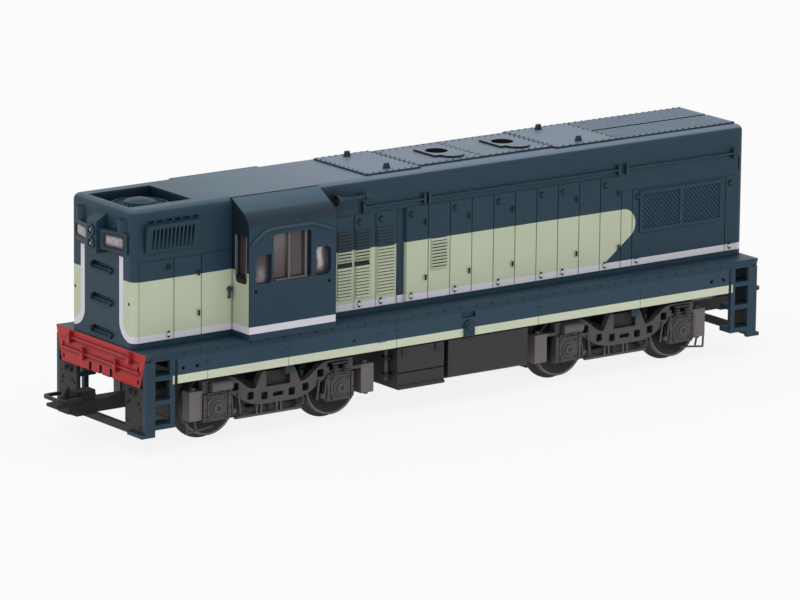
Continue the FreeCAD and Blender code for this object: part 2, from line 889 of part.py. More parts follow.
def make_short_hood():
    body = hood_shell("short_hood_body", -hood_end, -cab_front, -hood_end)
    x = (-recess_start, -recess_end)
    y = (-d.recess_half_width, d.recess_half_width)
    wall = d.hood_wall
    well = block("fan_well", (x[0] - wall, x[1] + wall), (y[0] - wall, y[1] + wall),
                 (d.roof_top - d.recess_depth - wall, d.roof_top - wall))
    removed = [block("fan_recess", x, y, (d.roof_top - d.recess_depth, d.roof_top + past))]
    pods = []
    board_top = d.roof_top - d.board_drop + d.board_height
    for name, y in (("right", -d.pod_offset), ("left", d.pod_offset)):
        pods.append(cylinder(f"class_lamp_{name}", d.pod_radius, d.pod_height,
                             (-hood_end + d.pod_inset, y, board_top)))
    for i in range(3):
        low = d.deck_top + d.foothold_rise + i * d.foothold_pitch
        removed.append(block(f"foothold_{i}", (-hood_end - past, -hood_end + d.foothold_depth),
                             (-d.foothold_half, d.foothold_half), (low, low + d.foothold_height)))
    vent_z = d.roof_top - d.nose_box_drop + d.nose_box_height + d.nose_vent_rise
    for i in range(nose_vents):
        start = -hood_end + d.nose_vent_start + i * d.nose_vent_pitch
        for name, hand in (("right", -1), ("left", 1)):
            removed.append(block(f"nose_vent_{name}_{i}", (start, start + d.nose_vent_length),
                                 span(hand * (hood_half - d.nose_vent_depth), hand * (hood_half + past)),
                                 (vent_z, vent_z + d.nose_vent_height)))
    node("short_hood", cut("short_hood_cut", fuse("short_hood_well", body, well, *pods), *removed))


def make_long_hood():
    # the wall steps in beside the engine doors; two holes let the exhaust out
    body = hood_shell("long_hood_body", -cab_rear, hood_end, hood_end)
    x = (-cab_rear + d.hood_step_offset, -cab_rear + d.hood_step_offset + d.hood_step_width)
    removed = []
    for name, hand in (("right", -1), ("left", 1)):
        removed.append(block(f"hood_step_{name}", x,
                             span(hand * (hood_half - d.hood_step_depth), hand * (hood_half + past)),
                             (door_bottom, door_top)))
        start = hood_end - d.rear_slot_inset
        low = d.roof_top - d.rear_slot_drop
        removed.append(block(f"rear_slot_{name}", (start - d.rear_slot_width, start),
                             span(hand * (hood_half - d.rear_slot_depth), hand * (hood_half + past)),
                             (low, low + d.rear_slot_height)))
    for i, place_x in enumerate(stack_places):
        removed.append(cylinder(f"hood_stack_hole_{i}", stack_hole, d.hood_wall + 2 * past,
                                (place_x, 0, d.roof_top - d.hood_wall - past)))
    node("long_hood", cut("long_hood_cut", body, *removed))


# Doors and louvres on the hood sides

def fitting(name, x, z, width, height):
    return block(name, (x - width / 2, x + width / 2), (door_face, door_face + d.latch_depth),
                 (z - height / 2, z + height / 2))


def door(name, x, z, latch_x=None, hinge_x=None):
    # flat panel with two latches and two hinges where they are given
    pieces = [block(f"{name}_panel", (x[0] + d.door_gap / 2, x[1] - d.door_gap / 2), (hood_half, door_face), z)]
    if latch_x is not None:
        for tag, height in (("lower", z[0] + d.lower_latch_rise), ("upper", z[1] - d.upper_latch_drop)):
            pieces.append(fitting(f"{name}_latch_{tag}", latch_x, height, d.latch_width, d.latch_height))
    if hinge_x is not None:
        for tag, height in (("lower", z[0] + d.hinge_rise), ("upper", z[1] - d.upper_hinge_drop)):
            pieces.append(fitting(f"{name}_hinge_{tag}", hinge_x, height, d.hinge_width, d.hinge_height))
    return fuse(f"{name}_joined", *pieces)


def make_doors():
    pieces = []
    start = -hood_end + d.short_door_setback
    edges = [start, start + d.first_short_door, start + d.first_short_door + d.second_short_door, -cab_front]
    z = (door_bottom, d.roof_top - d.nose_box_drop - d.short_door_gap)
    for i in range(3):
        latch = edges[i + 1] - d.latch_inset if i == 1 else None
        hinge = edges[i + 1] - d.hinge_inset if i == 0 else None
        pieces.append(door(f"short_door_{i}", (edges[i], edges[i + 1]), z, latch, hinge))
    first = -cab_rear + d.engine_doors_offset
    for i in range(engine_doors):
        x = (first + i * door_pitch, first + (i + 1) * door_pitch)
        latch = x[1] - d.latch_inset if i in (0, 2, 4, 7, 9) else None
        hinge = x[0] + d.hinge_inset if i in (0, 2, 4, 6, 7, 9) else None
        pieces.append(door(f"engine_door_{i}", x, (door_bottom, door_top), latch, hinge))
    rear = hood_end - d.rear_end_gap
    edges = [doors_end, doors_end + d.rear_side_panel, rear - d.rear_side_panel, rear]
    z = (door_bottom, grille_top + d.rear_panel_margin)
    for i in range(3):
        hinge = edges[i] + d.hinge_inset if i > 0 else None
        pieces.append(door(f"rear_panel_{i}", (edges[i], edges[i + 1]), z, None, hinge))
    node("hood_doors", *both_sides("hood_door", *pieces))


def louvre_panel(name, x, z, seat):
    # thin plate with a row of louvres, each sloping out to a lip at its foot
    width = x[1] - x[0]
    body, _ = prism(name, "YZ_Plane", x[0], rectangle((seat, seat + d.louvre_base), z), width)
    section = sketch_on(body, f"{name}_section", "YZ_Plane", x[0])
    lip = seat + d.louvre_depth
    top = z[0] + d.louvre_height
    polygon(section, [(seat, z[0]), (lip, z[0]), (seat + d.louvre_base / 2, top), (seat, top)])
    slat = feature(body, "Pad", f"{name}_slat", section, width)
    count = int(float((z[1] - z[0]) / d.louvre_pitch))
    row(body, f"{name}_row", slat, section, "V_Axis", d.louvre_pitch, count)
    return body


def make_louvred_doors():
    pieces = []
    start = -cab_rear + d.louvred_door_start
    last = -cab_rear + d.last_louvred_door_offset
    low = door_bottom + d.louvre_start
    high = door_top - d.louvre_head
    split = (low + high - d.louvre_split_gap) / 2
    for i, (x, width) in enumerate(((start, d.louvred_door_width),
                                    (start + d.louvred_door_step, d.louvred_door_width),
                                    (last, d.last_louvred_door_width))):
        hinge = x + d.hinge_inset if i > 0 else None
        pieces.append(door(f"louvred_door_{i}", (x, x + width), (door_bottom, door_top), None, hinge))
        across = (x + d.louvre_margin, x + width - d.louvre_margin)
        bands = [(low, high)] if i == 2 else [(low, split), (split + d.louvre_split_gap, high)]
        for j, z in enumerate(bands):
            pieces.append(louvre_panel(f"louvres_{i}_{j}", across, z, door_face))
    x = -cab_rear + d.engine_doors_offset + door_pitch
    low = door_bottom + d.small_louvre_start
    pieces.append(louvre_panel("small_louvres", (x + d.latch_inset, x + door_pitch - d.latch_inset),
                               (low, low + d.small_louvre_band), door_face))
    node("louvred_doors", *both_sides("louvred_door", *pieces))


def make_nose_louvres():
    # box that leans out towards its top, with upright slots in its face
    start = -hood_end + d.nose_box_setback
    low = d.roof_top - d.nose_box_drop
    high = low + d.nose_box_height
    lip = hood_half + d.nose_box_lip
    body, _ = prism("nose_box", "YZ_Plane", start,
                    [(-hood_half, low), (-hood_half - d.nose_box_foot, low), (-lip, high), (-hood_half, high)],
                    d.nose_box_length)
    slot = sketch_on(body, "nose_slot_outline", "XZ_Plane", lip)
    x = start + d.nose_slot_margin
    z = low + d.nose_slot_rise
    polygon(slot, rectangle((x, x + d.nose_slot_width), (z, z + d.nose_slot_height)))
    pocket = feature(body, "Pocket", "nose_slot", slot, d.nose_box_lip - d.nose_slot_left)
    count = int(float((d.nose_box_length - 2 * d.nose_slot_margin) / d.nose_slot_pitch)) + 1
    row(body, "nose_slots", pocket, slot, "H_Axis", d.nose_slot_pitch, count)
    node("nose_louvres", *both_sides("nose_box", body))


def mesh_layer(name, x, z, depth, lean):
    # parallel bars at 45 degrees, trimmed to the opening
    height = z[1] - z[0]
    reach = (x[1] - x[0]) + height
    count = int(float(reach) / (float(d.mesh_pitch) * 2 ** 0.5))
    turn = FreeCAD.Rotation(FreeCAD.Vector(0, 1, 0), 45 * lean)
    bars = []
    for i in range(count):
        bar = doc.addObject("Part::Box", f"{name}_bar_{i}")
        bar.Placement = FreeCAD.Placement(FreeCAD.Vector(), turn)
        tie(bar, "Length", d.mesh_bar)
        tie(bar, "Width", d.mesh_layer)
        tie(bar, "Height", reach * 2)
        offset = (i + 1) * reach / (count + 1)
        start = x[0] - height + offset if lean > 0 else x[0] + offset
        place(bar, start - lean * height, depth, z[0] - height)
        bars.append(bar)
    opening = block(f"{name}_trim", x, (depth - past, depth + past), z)
    return common(f"{name}_mesh", fuse(f"{name}_bars", *bars), opening)


def make_side_grilles():
    start = hood_end - d.grille_setback
    x = (start, start + d.grille_length)
    z = (grille_top - d.grille_height, grille_top)
    frame = block("grille_frame", x, (door_face, door_face + d.grille_depth), z)
    middle = (x[0] + x[1]) / 2
    inner_z = (z[0] + d.grille_border, z[1] - d.grille_border)
    front_layer = door_face + d.mesh_layer + d.running_gap
    holes = []
    layers = []
    for i, across in enumerate(((x[0] + d.grille_border, middle - d.grille_mullion / 2),
                                (middle + d.grille_mullion / 2, x[1] - d.grille_border))):
        holes.append(block(f"grille_hole_{i}", across, (door_face - past, door_face + d.grille_depth + past),
                           inner_z))
        layers.append(mesh_layer(f"grille_{i}_back", across, inner_z, door_face, 1))
        layers.append(mesh_layer(f"grille_{i}_front", across, inner_z, front_layer, -1))
    grille = fuse("grille_joined", cut("grille_cut", frame, *holes), *layers)
    node("radiator_side_grilles", *both_sides("grille", grille))


# Nose, roof and side fittings

board_front = hood_end + d.board_depth
board_bottom = d.roof_top - d.board_drop
board_slope = (d.board_depth - d.board_end_depth) / (d.board_half_width - d.board_inner)


def board_x(y, depth):
    # place along X of a number board's slanting face at a distance y from the middle
    return -(board_front - (y - d.board_inner) * board_slope) + depth


def make_lamp_housing():
    back = -hood_end
    wide = d.board_half_width
    narrow = d.board_inner
    plan = [(back, -wide), (board_x(wide, 0), -wide), (-board_front, -narrow), (-board_front, narrow),
            (board_x(wide, 0), wide), (back, wide)]
    boards, _ = prism("board_block", "XY_Plane", board_bottom, plan, d.board_height)
    face = back - d.lamp_box_depth
    low = d.roof_top - d.lamp_box_drop
    high = low + d.lamp_box_height
    box, _ = prism("lamp_box", "XZ_Plane", -d.lamp_box_half,
                   [(face, low), (back, low), (back, high + d.visor_height), (face, high)], d.lamp_box_half * 2)
    raised = [boards, box]
    removed = []
    lenses = []
    middle = (low + high) / 2
    ring_face = face - d.lamp_ring_depth
    for i, z in enumerate((middle - d.lamp_spacing / 2, middle + d.lamp_spacing / 2)):
        raised.append(cylinder(f"lamp_ring_{i}", d.lamp_radius + d.lamp_ring, d.lens_thickness,
                               (ring_face, 0, z), "x"))
        depth = d.lamp_ring_depth + d.lens_thickness
        removed.append(cylinder(f"lamp_bore_{i}", d.lamp_radius, depth, (ring_face, 0, z), "x"))
        lenses.append(cylinder(f"lamp_lens_{i}", d.lamp_radius - d.running_gap, d.lens_thickness,
                               (face, 0, z), "x"))
    panes = []
    low = board_bottom + d.board_border
    near_y = narrow + d.board_border
    far_y = wide - d.board_border
    pane_back = d.board_glass_setback + d.board_glass
    for name, hand in (("right", -1), ("left", 1)):
        for tag, front, holder in (("recess", -d.board_glass, removed), ("pane", d.board_glass_setback, panes)):
            points = [(board_x(near_y, front), hand * near_y), (board_x(near_y, pane_back), hand * near_y),
                      (board_x(far_y, pane_back), hand * far_y), (board_x(far_y, front), hand * far_y)]
            label = f"board_{tag}_{name}"
            body, pad = prism(label, "XY_Plane", low, points, d.board_height - 2 * d.board_border)
            round_edges(body, f"{label}_corners", pad, d.board_corner, lambda edge: along(edge, "x"))
            holder.append(body)
    node("lamp_housing", cut("lamp_housing_cut", fuse("lamp_housing_joined", *raised), *removed))
    node("headlamp_lenses", *lenses)
    node("number_boards_glass", *panes)


def make_fan():
    # hub under a low dome, with sloping fins out to a ring
    floor = d.roof_top - d.recess_depth
    top = d.roof_top - d.fan_drop
    inner = d.fan_radius - d.fan_ring
    ring_top = floor + d.fan_ring_height
    shoulder_height = top - d.fan_dome_height
    body = revolved("fan_body", "XZ_Plane", "V_Axis",
                    [(0, floor), (d.fan_radius, floor), (d.fan_radius, ring_top), (inner, ring_top),
                     (inner, floor + d.fan_floor_rise), (d.fan_dome_radius, floor + d.fan_floor_rise),
                     (d.fan_dome_radius, shoulder_height), (d.fan_dome_radius / 2, top - d.fan_dome_height / 5),
                     (0, top)])
    fin = sketch_on(body, "fin_outline", "XZ_Plane")
    hub = d.fan_dome_radius - d.fan_ring
    rim = d.fan_radius - d.fan_ring / 2
    polygon(fin, [(hub, floor), (rim, floor), (rim, ring_top - d.fan_ring / 2), (hub, top - d.fin_drop)])
    blade = feature(body, "Pad", "fin", fin, d.fin_thickness)
    blade.Midplane = True
    turned = body.newObject("PartDesign::PolarPattern", "fins")
    turned.Originals = [blade]
    turned.Axis = (fin, ["V_Axis"])
    turned.Angle = 360
    turned.Occurrences = 24
    body.Tip = turned
    place(body, -(recess_start + recess_end) / 2)
    node("roof_fan", body)


def make_roof():
    top = d.roof_top
    front = -cab_rear + d.front_hatch_offset
    rear = hood_end - d.roof_grille_setback - d.roof_grille_length - d.hatch_gap
    joint = front + d.front_hatch_length
    rear_joint = rear - d.rear_hatch_length
    middle = (joint + d.hatch_gap, rear_joint - d.hatch_gap)
    hatches = []
    for name, x, half in (("front", (front, joint), d.hatch_half_width),
                          ("middle", middle, d.middle_hatch_half_width),
                          ("rear", (rear_joint, rear), d.hatch_half_width)):
        hatches.append(block(f"hatch_{name}", x, (-half, half), (top, hatch_top)))
    holes = []
    for i, x in enumerate(stack_places):
        holes.append(cylinder(f"hatch_stack_hole_{i}", stack_hole, d.hatch_thickness + 2 * past,
                              (x, 0, top - past)))
    hatches[1] = cut("hatch_middle_cut", hatches[1], *holes)
    for i, x in ((0, front + d.front_lug_inset), (2, rear - d.rear_lug_inset)):
        lugs = []
        for name, y in (("right", -d.lug_offset), ("left", d.lug_offset)):
            base, top_length = d.lug_length / 2, d.lug_length / 4
            points = [(x - base, top), (x + base, top), (x + top_length, hatch_top + d.lug_height),
                      (x - top_length, hatch_top + d.lug_height)]
            lug, _ = prism(f"lug_{i}_{name}", "XZ_Plane", -y - d.lug_width / 2, points, d.lug_width)
            lugs.append(lug)
        hatches[i] = fuse(f"hatch_with_lugs_{i}", hatches[i], *lugs)
    node("roof_hatches", *hatches)
    panel = block("roof_grille_panel", (rear + d.hatch_gap, hood_end - d.roof_grille_setback),
                  (d.roof_grille_gap, d.roof_grille_half), (top, top + d.roof_grille_thickness))
    node("radiator_roof_grilles", *both_sides("roof_grille", panel))


def make_stacks():
    # flat flange with a round ear, and a short pipe that drops through the roof
    stacks = []
    z = (hatch_top, hatch_top + d.flange_thickness)
    for i, x in enumerate(stack_places):
        flange = block(f"stack_flange_{i}", (x - d.flange_half_length, x + d.flange_half_length),
                       (-d.flange_half_width, d.flange_half_width), z)
        ear = cylinder(f"stack_ear_{i}", d.lid_radius, d.flange_thickness,
                       (x + d.lid_shift, -d.lid_offset, hatch_top))
        pipe = cylinder(f"stack_pipe_{i}", d.stack_bore + d.stack_wall, z[1] - d.roof_top + d.hood_wall,
                        (x, 0, d.roof_top - d.hood_wall))
        bore = cylinder(f"stack_bore_{i}", d.stack_bore, d.stack_depth + past, (x, 0, z[1] - d.stack_depth))
        stacks.append(cut(f"stack_{i}", fuse(f"stack_joined_{i}", flange, ear, pipe), bore))
    node("exhaust_stacks", *stacks)


def make_horn():
    end = d.horn_length
    thick = d.horn_radius / 2
    body = revolved("horn_body", "XY_Plane", "H_Axis",
                    [(d.horn_bell / 2, 0), (0, d.horn_radius - d.horn_throat / 2), (0, d.horn_radius),
                     (d.horn_throat, d.horn_radius), (d.horn_bell, thick), (2 * d.horn_bell, d.horn_throat),
                     (end - d.horn_body, d.horn_throat), (end - d.horn_body, thick), (end, thick), (end, 0)])
    x = -cab_rear + d.horn_offset
    y = -hood_half - d.horn_standoff
    z = d.roof_top - d.horn_drop
    place(body, x, y, z)
    foot_end = x + end - d.horn_body
    foot = block("horn_foot", (foot_end - d.horn_foot, foot_end), (y, -hood_half),
                 (z - d.horn_throat, z + d.horn_throat))
    node("horn", fuse("horn_joined", body, foot))


def make_handrails():
    y = hood_half + d.rail_standoff + d.rail_radius
    z = d.roof_top - d.rail_drop
    split = -cab_rear + d.rail_split
    rear_end = hood_end - d.rail_end_setback
    rear_start = rear_end - d.rear_rail_length
    rails = []
    for i, (start, end, spans) in enumerate(((-cab_rear + d.rail_start, split, 2),
                                             (split + d.rail_gap, rear_start - d.rear_rail_gap, 5),
                                             (rear_start, rear_end, 3))):
        pieces = [cylinder(f"rail_{i}", d.rail_radius, end - start, (start, y, z), "x")]
        for tag, x in (("start", start), ("end", end - d.rail_bracket_width)):
            half = d.rail_bracket_height / 2
            pieces.append(block(f"rail_{i}_bracket_{tag}", (x, x + d.rail_bracket_width),
                                (hood_half, y + d.rail_radius), (z - half, z + half)))
        for j in range(1, spans):
            x = start + (end - start) * j / spans
            pieces.append(cylinder(f"rail_{i}_post_{j}", d.rail_post_radius, y - hood_half,
                                   (x, hood_half, z), "y"))
        rails.append(fuse(f"rail_joined_{i}", *pieces))
    node("hood_handrails", *both_sides("hood_rail", *rails))


def make_fillers():
    wall = d.deck_half_width
    z = sill_bottom + d.filler_rise
    x = d.filler_offset
    plate = cylinder("filler_plate", d.filler_radius, d.filler_depth, (x, wall, z), "y")
    foot = block("filler_foot", (x - d.filler_radius, x + d.filler_radius), (wall, wall + d.filler_depth),
                 (sill_bottom, z))
    cap = cylinder("filler_cap", d.filler_cap_radius, d.filler_depth + d.filler_cap_depth, (x, wall, z), "y")
    node("fuel_fillers", *both_sides("filler", fuse("filler_joined", plate, foot, cap)))


# Cab

shoulder = d.roof_top - d.cab_roof_drop
main_top = shoulder - d.window_head
window_sill = main_top - d.main_window_height
side_top = window_sill + d.side_window_height
rear_window = (-cab_rear - d.rear_window_inset - d.rear_window_length, -cab_rear - d.rear_window_inset)
main_window = (-cab_front + d.main_window_inset, rear_window[0] - d.window_pillar)
quarter_start = -cab_front + d.quarter_window_inset


def cab_section(inset):
    # the cab's cross section, inset by the wall
    half = cab_half - inset
    top = d.roof_top - inset
    edge = d.roof_panel_half
    return [(-half, d.deck_top), (half, d.deck_top), (half, shoulder - inset),
            (edge, top), (-edge, top), (-half, shoulder - inset)]


def side_window(name, x, z, radius, rounded, chamfer=0):
    # opening through both side walls; the named corners are rounded, the top front one may be bevelled
    points = rectangle(x, z)
    if chamfer:
        points = points[:3] + [(x[0] + chamfer, z[1]), (x[0], z[1] - chamfer)]
    reach = cab_half + past
    body, pad = prism(name, "XZ_Plane", -reach, points, reach * 2)

    def chosen(edge):
        middle = middle_of(edge)
        return along(edge, "y") and any(near(middle.x, x[i]) and near(middle.z, z[j]) for i, j in rounded)

    round_edges(body, f"{name}_corners", pad, radius, chosen)
    return body


def drip_rail():
    front = -cab_front + d.drip_front_inset
    rear = -cab_rear - d.drip_rear_inset
    z = main_top + d.drip_rail_rise
    under = [(front, z - d.drip_front_fall), (front + d.drip_front_run, z), (rear - d.drip_rear_run, z),
             (rear, z - d.drip_rear_fall)]
    over = [(x, height + d.drip_rail_width) for x, height in reversed(under)]
    strip, pad = prism("drip_rail", "XZ_Plane", cab_half - d.cab_wall / 2, under + over,
                       d.cab_wall / 2 + d.drip_rail_depth)
    bends = (front + d.drip_front_run, rear - d.drip_rear_run)
    round_edges(strip, "drip_rail_bends", pad, d.drip_bend,
                lambda edge: along(edge, "y") and any(near(middle_of(edge).x, bend) for bend in bends))
    return both_sides("drip_rail", strip)


def make_cab():
    body = new_body("cab_body")
    section = sketch_on(body, "cab_section", "YZ_Plane", -cab_front)
    polygon(section, cab_section(0))
    outer = feature(body, "Pad", "cab_outer", section, d.cab_length)

    def chosen(edge):
        middle = middle_of(edge)
        return along(edge, "x") and near(abs(middle.y), cab_half) and near(middle.z, shoulder)

    round_edges(body, "cab_shoulders", outer, d.cab_roof_radius, chosen)
    inside = sketch_on(body, "cab_inside", "YZ_Plane", -cab_front + d.cab_wall)
    polygon(inside, cab_section(d.cab_wall))
    hollow = feature(body, "Pocket", "cab_hollow", inside, d.cab_length - 2 * d.cab_wall)
    hollow.Reversed = True
    edge = d.roof_panel_half + d.roof_panel_gap
    removed = [block("roof_panel_gap", (-cab_front - past, -cab_rear + past), (-edge, edge),
                     (d.roof_top - d.cab_wall, d.roof_top + past))]
    removed.append(side_window("quarter_window", (quarter_start, quarter_start + d.quarter_window_length),
                               (window_sill, side_top), d.window_corner, ((0, 0), (1, 0)), d.window_chamfer))
    removed.append(side_window("main_window", main_window, (window_sill, main_top), d.window_corner,
                               ((0, 0), (1, 0), (0, 1), (1, 1))))
    removed.append(side_window("rear_window", rear_window, (window_sill, side_top), d.large_window_corner,
                               ((1, 0), (1, 1))))
    y = (d.end_window_inner, cab_half - d.end_window_outer_inset)
    for name, x in (("front", -cab_front - past), ("rear", -cab_rear - d.cab_wall)):
        body_y, pad = prism(f"end_window_{name}", "YZ_Plane", x, rectangle(y, (window_sill, main_top)),
                            d.cab_wall + past)
        round_edges(body_y, f"end_window_{name}_corners", pad, d.end_window_corner,
                    lambda edge: along(edge, "x") and near(middle_of(edge).z, window_sill))
        removed += both_sides(f"end_window_{name}", body_y)
    for name, x in (("front", -cab_front + d.cab_hole_inset), ("rear", -cab_rear - d.cab_hole_inset)):
        hole = cylinder(f"cab_hole_{name}", d.cab_hole_radius, d.cab_wall / 2 + past,
                        (x, cab_half - d.cab_wall / 2, window_sill - d.cab_hole_drop), "y")
        removed += both_sides(f"cab_hole_{name}", hole)
    node("cab", cut("cab_cut", fuse("cab_joined", body, *drip_rail()), *removed))


def make_cab_roof():
    panel = block("roof_panel_block", (-cab_front, -cab_rear), (-d.roof_panel_half, d.roof_panel_half),
                  (d.roof_top - d.cab_wall, d.roof_top))
    node("cab_roof_panel", panel)


def make_window_frames():
    # sill bar with an upright between the panes and one near the rear edge
    outer = cab_half - d.frame_setback
    y = (outer - d.frame_depth, outer)
    first = main_window[0] + d.mullion_offset
    last = main_window[1] - d.end_bar_inset
    bars = [block("frame_sill", (main_window[0] + d.window_corner, main_window[1] - d.window_corner), y,
                  (window_sill, window_sill + d.frame_bar))]
    for name, x in (("middle", first), ("rear", last)):
        bars.append(block(f"frame_{name}", (x, x + d.frame_bar), y, (window_sill, main_top)))
    node("cab_window_frames", *both_sides("window_frame", fuse("frame_joined", *bars)))


def make_cab_glass():
    inner = cab_half - d.cab_wall
    reach = d.cab_wall + d.glass_gap
    z = (window_sill - d.glass_margin, main_top + d.glass_margin)
    side = block("side_glass", (-cab_front + reach, -cab_rear - reach), (inner - d.glass_thickness, inner), z)
    node("cab_side_glass", *both_sides("side_glass", side))
    panes = []
    y = (d.end_window_inner - d.glass_margin, inner - d.glass_thickness - d.glass_gap)
    for name, x in (("front", -cab_front + d.cab_wall), ("rear", -cab_rear - d.cab_wall - d.glass_thickness)):
        panes.append(block(f"end_glass_{name}", (x, x + d.glass_thickness), y, z))
    node("cab_end_glass", *both_sides("end_glass", *panes))


def make_cab_floor():
    half = cab_half - d.cab_wall
    floor = block("cab_floor_block", (-cab_front + d.cab_wall, -cab_rear - d.cab_wall), (-half, half),
                  (d.deck_top, d.deck_top + d.cab_floor_thickness))
    node("cab_floor", floor)


# Wheels and bogies

def make_wheelset(label, x):
    inner = d.back_to_back / 2
    rim = d.tread_radius - d.rim_thickness
    disc = wheel_face - d.disc_recess
    half = [(d.axle_radius, inner), (axle_height, inner), (axle_height, inner + d.flange_width / 2),
            (d.tread_radius, inner + d.flange_width), (d.tread_radius, wheel_face), (rim, wheel_face),
            (d.hub_radius, disc), (d.journal_radius, disc), (d.journal_radius, journal_end)]
    body = revolved(f"{label}_body", "XY_Plane", "V_Axis",
                    [(0, -journal_end)] + [(r, -y) for r, y in reversed(half)] + half + [(0, journal_end)])
    place(body, x, 0, axle_height)
    node(label, body)


def turned_copy(name, piece, centre):
    # the same piece on the other side of the bogie, turned half round
    return mirror(f"{name}_turned", mirror(f"{name}_crossed", piece), (1, 0, 0), centre)


def make_gearbox(name, centre, side):
    # gearbox between the wheels, bored for the axles and for the pivot pin
    reach = half_base + d.gearbox_overhang
    low = axle_height - d.gearbox_drop
    half = d.gearbox_half_width
    bevel = d.gearbox_bevel
    box, _ = prism(f"{name}_gearbox", "YZ_Plane", centre - reach,
                   [(-half + bevel, low), (half - bevel, low), (half, low + bevel), (half, gearbox_top),
                    (-half, gearbox_top), (-half, low + bevel)], reach * 2)
    seat = axle_height + d.low_beam_rise
    cross_end = (frame_inner + frame_outer) / 2
    cross = block(f"{name}_bolster_beam", (centre - d.bolster_half, centre + d.bolster_half),
                  (-cross_end, cross_end), (seat, seat + d.bolster_height))
    bores = [cylinder(f"{name}_pivot_bore", d.pivot_radius + d.running_gap, d.pivot_depth + 2 * past,
                      (centre, 0, gearbox_top - d.pivot_depth - past))]
    for i, x in enumerate((centre - half_base, centre + half_base)):
        bores.append(cylinder(f"{name}_axle_bore_{i}", d.axle_radius + d.running_gap, 2 * (half + past),
                              (x, -half - past, axle_height), "y"))
    # bracket over the coupler's eye with its pivot pin
    pivot_x = centre + side * d.coupler_pivot
    low = arm_bottom + d.arm_height + d.bracket_gap
    bracket = block(f"{name}_coupler_bracket",
                    span(centre + side * (reach - d.bracket_overlap), pivot_x + side * d.coupler_eye_radius),
                    (-d.bracket_half_width, d.bracket_half_width), (low, low + d.bracket_thickness))
    pin_foot = arm_bottom - d.bracket_gap
    pin = cylinder(f"{name}_coupler_pin", d.coupler_pin_radius, low + d.bracket_thickness / 2 - pin_foot,
                   (pivot_x, 0, pin_foot))
    core = cut(f"{name}_core", fuse(f"{name}_core_joined", box, cross), *bores)
    node(f"{name}_gearbox_frame", fuse(f"{name}_chassis", core, bracket, pin))


def frame_outline(centre):
    # low beam in the middle, necks up to the high beams over the axles, posts beside the bolster
    low = axle_height - d.low_beam_drop
    low_top = axle_height + d.low_beam_rise
    high = axle_height + d.high_beam_rise
    high_top = high + d.high_beam_height
    end = half_base + d.frame_end
    right = [(d.low_beam_half, low), (half_base - d.neck_head, high), (end, high), (end, high_top),
             (half_base - d.neck_upper_head, high_top), (d.low_beam_upper_half, low_top),
             (d.post_inner + d.post_foot, low_top), (d.post_inner + d.post_head, high_top),
             (d.post_inner, high_top), (d.post_inner, low_top)]
    left = [(-x, z) for x, z in reversed(right)]
    return [(centre + x, z) for x, z in right + left]


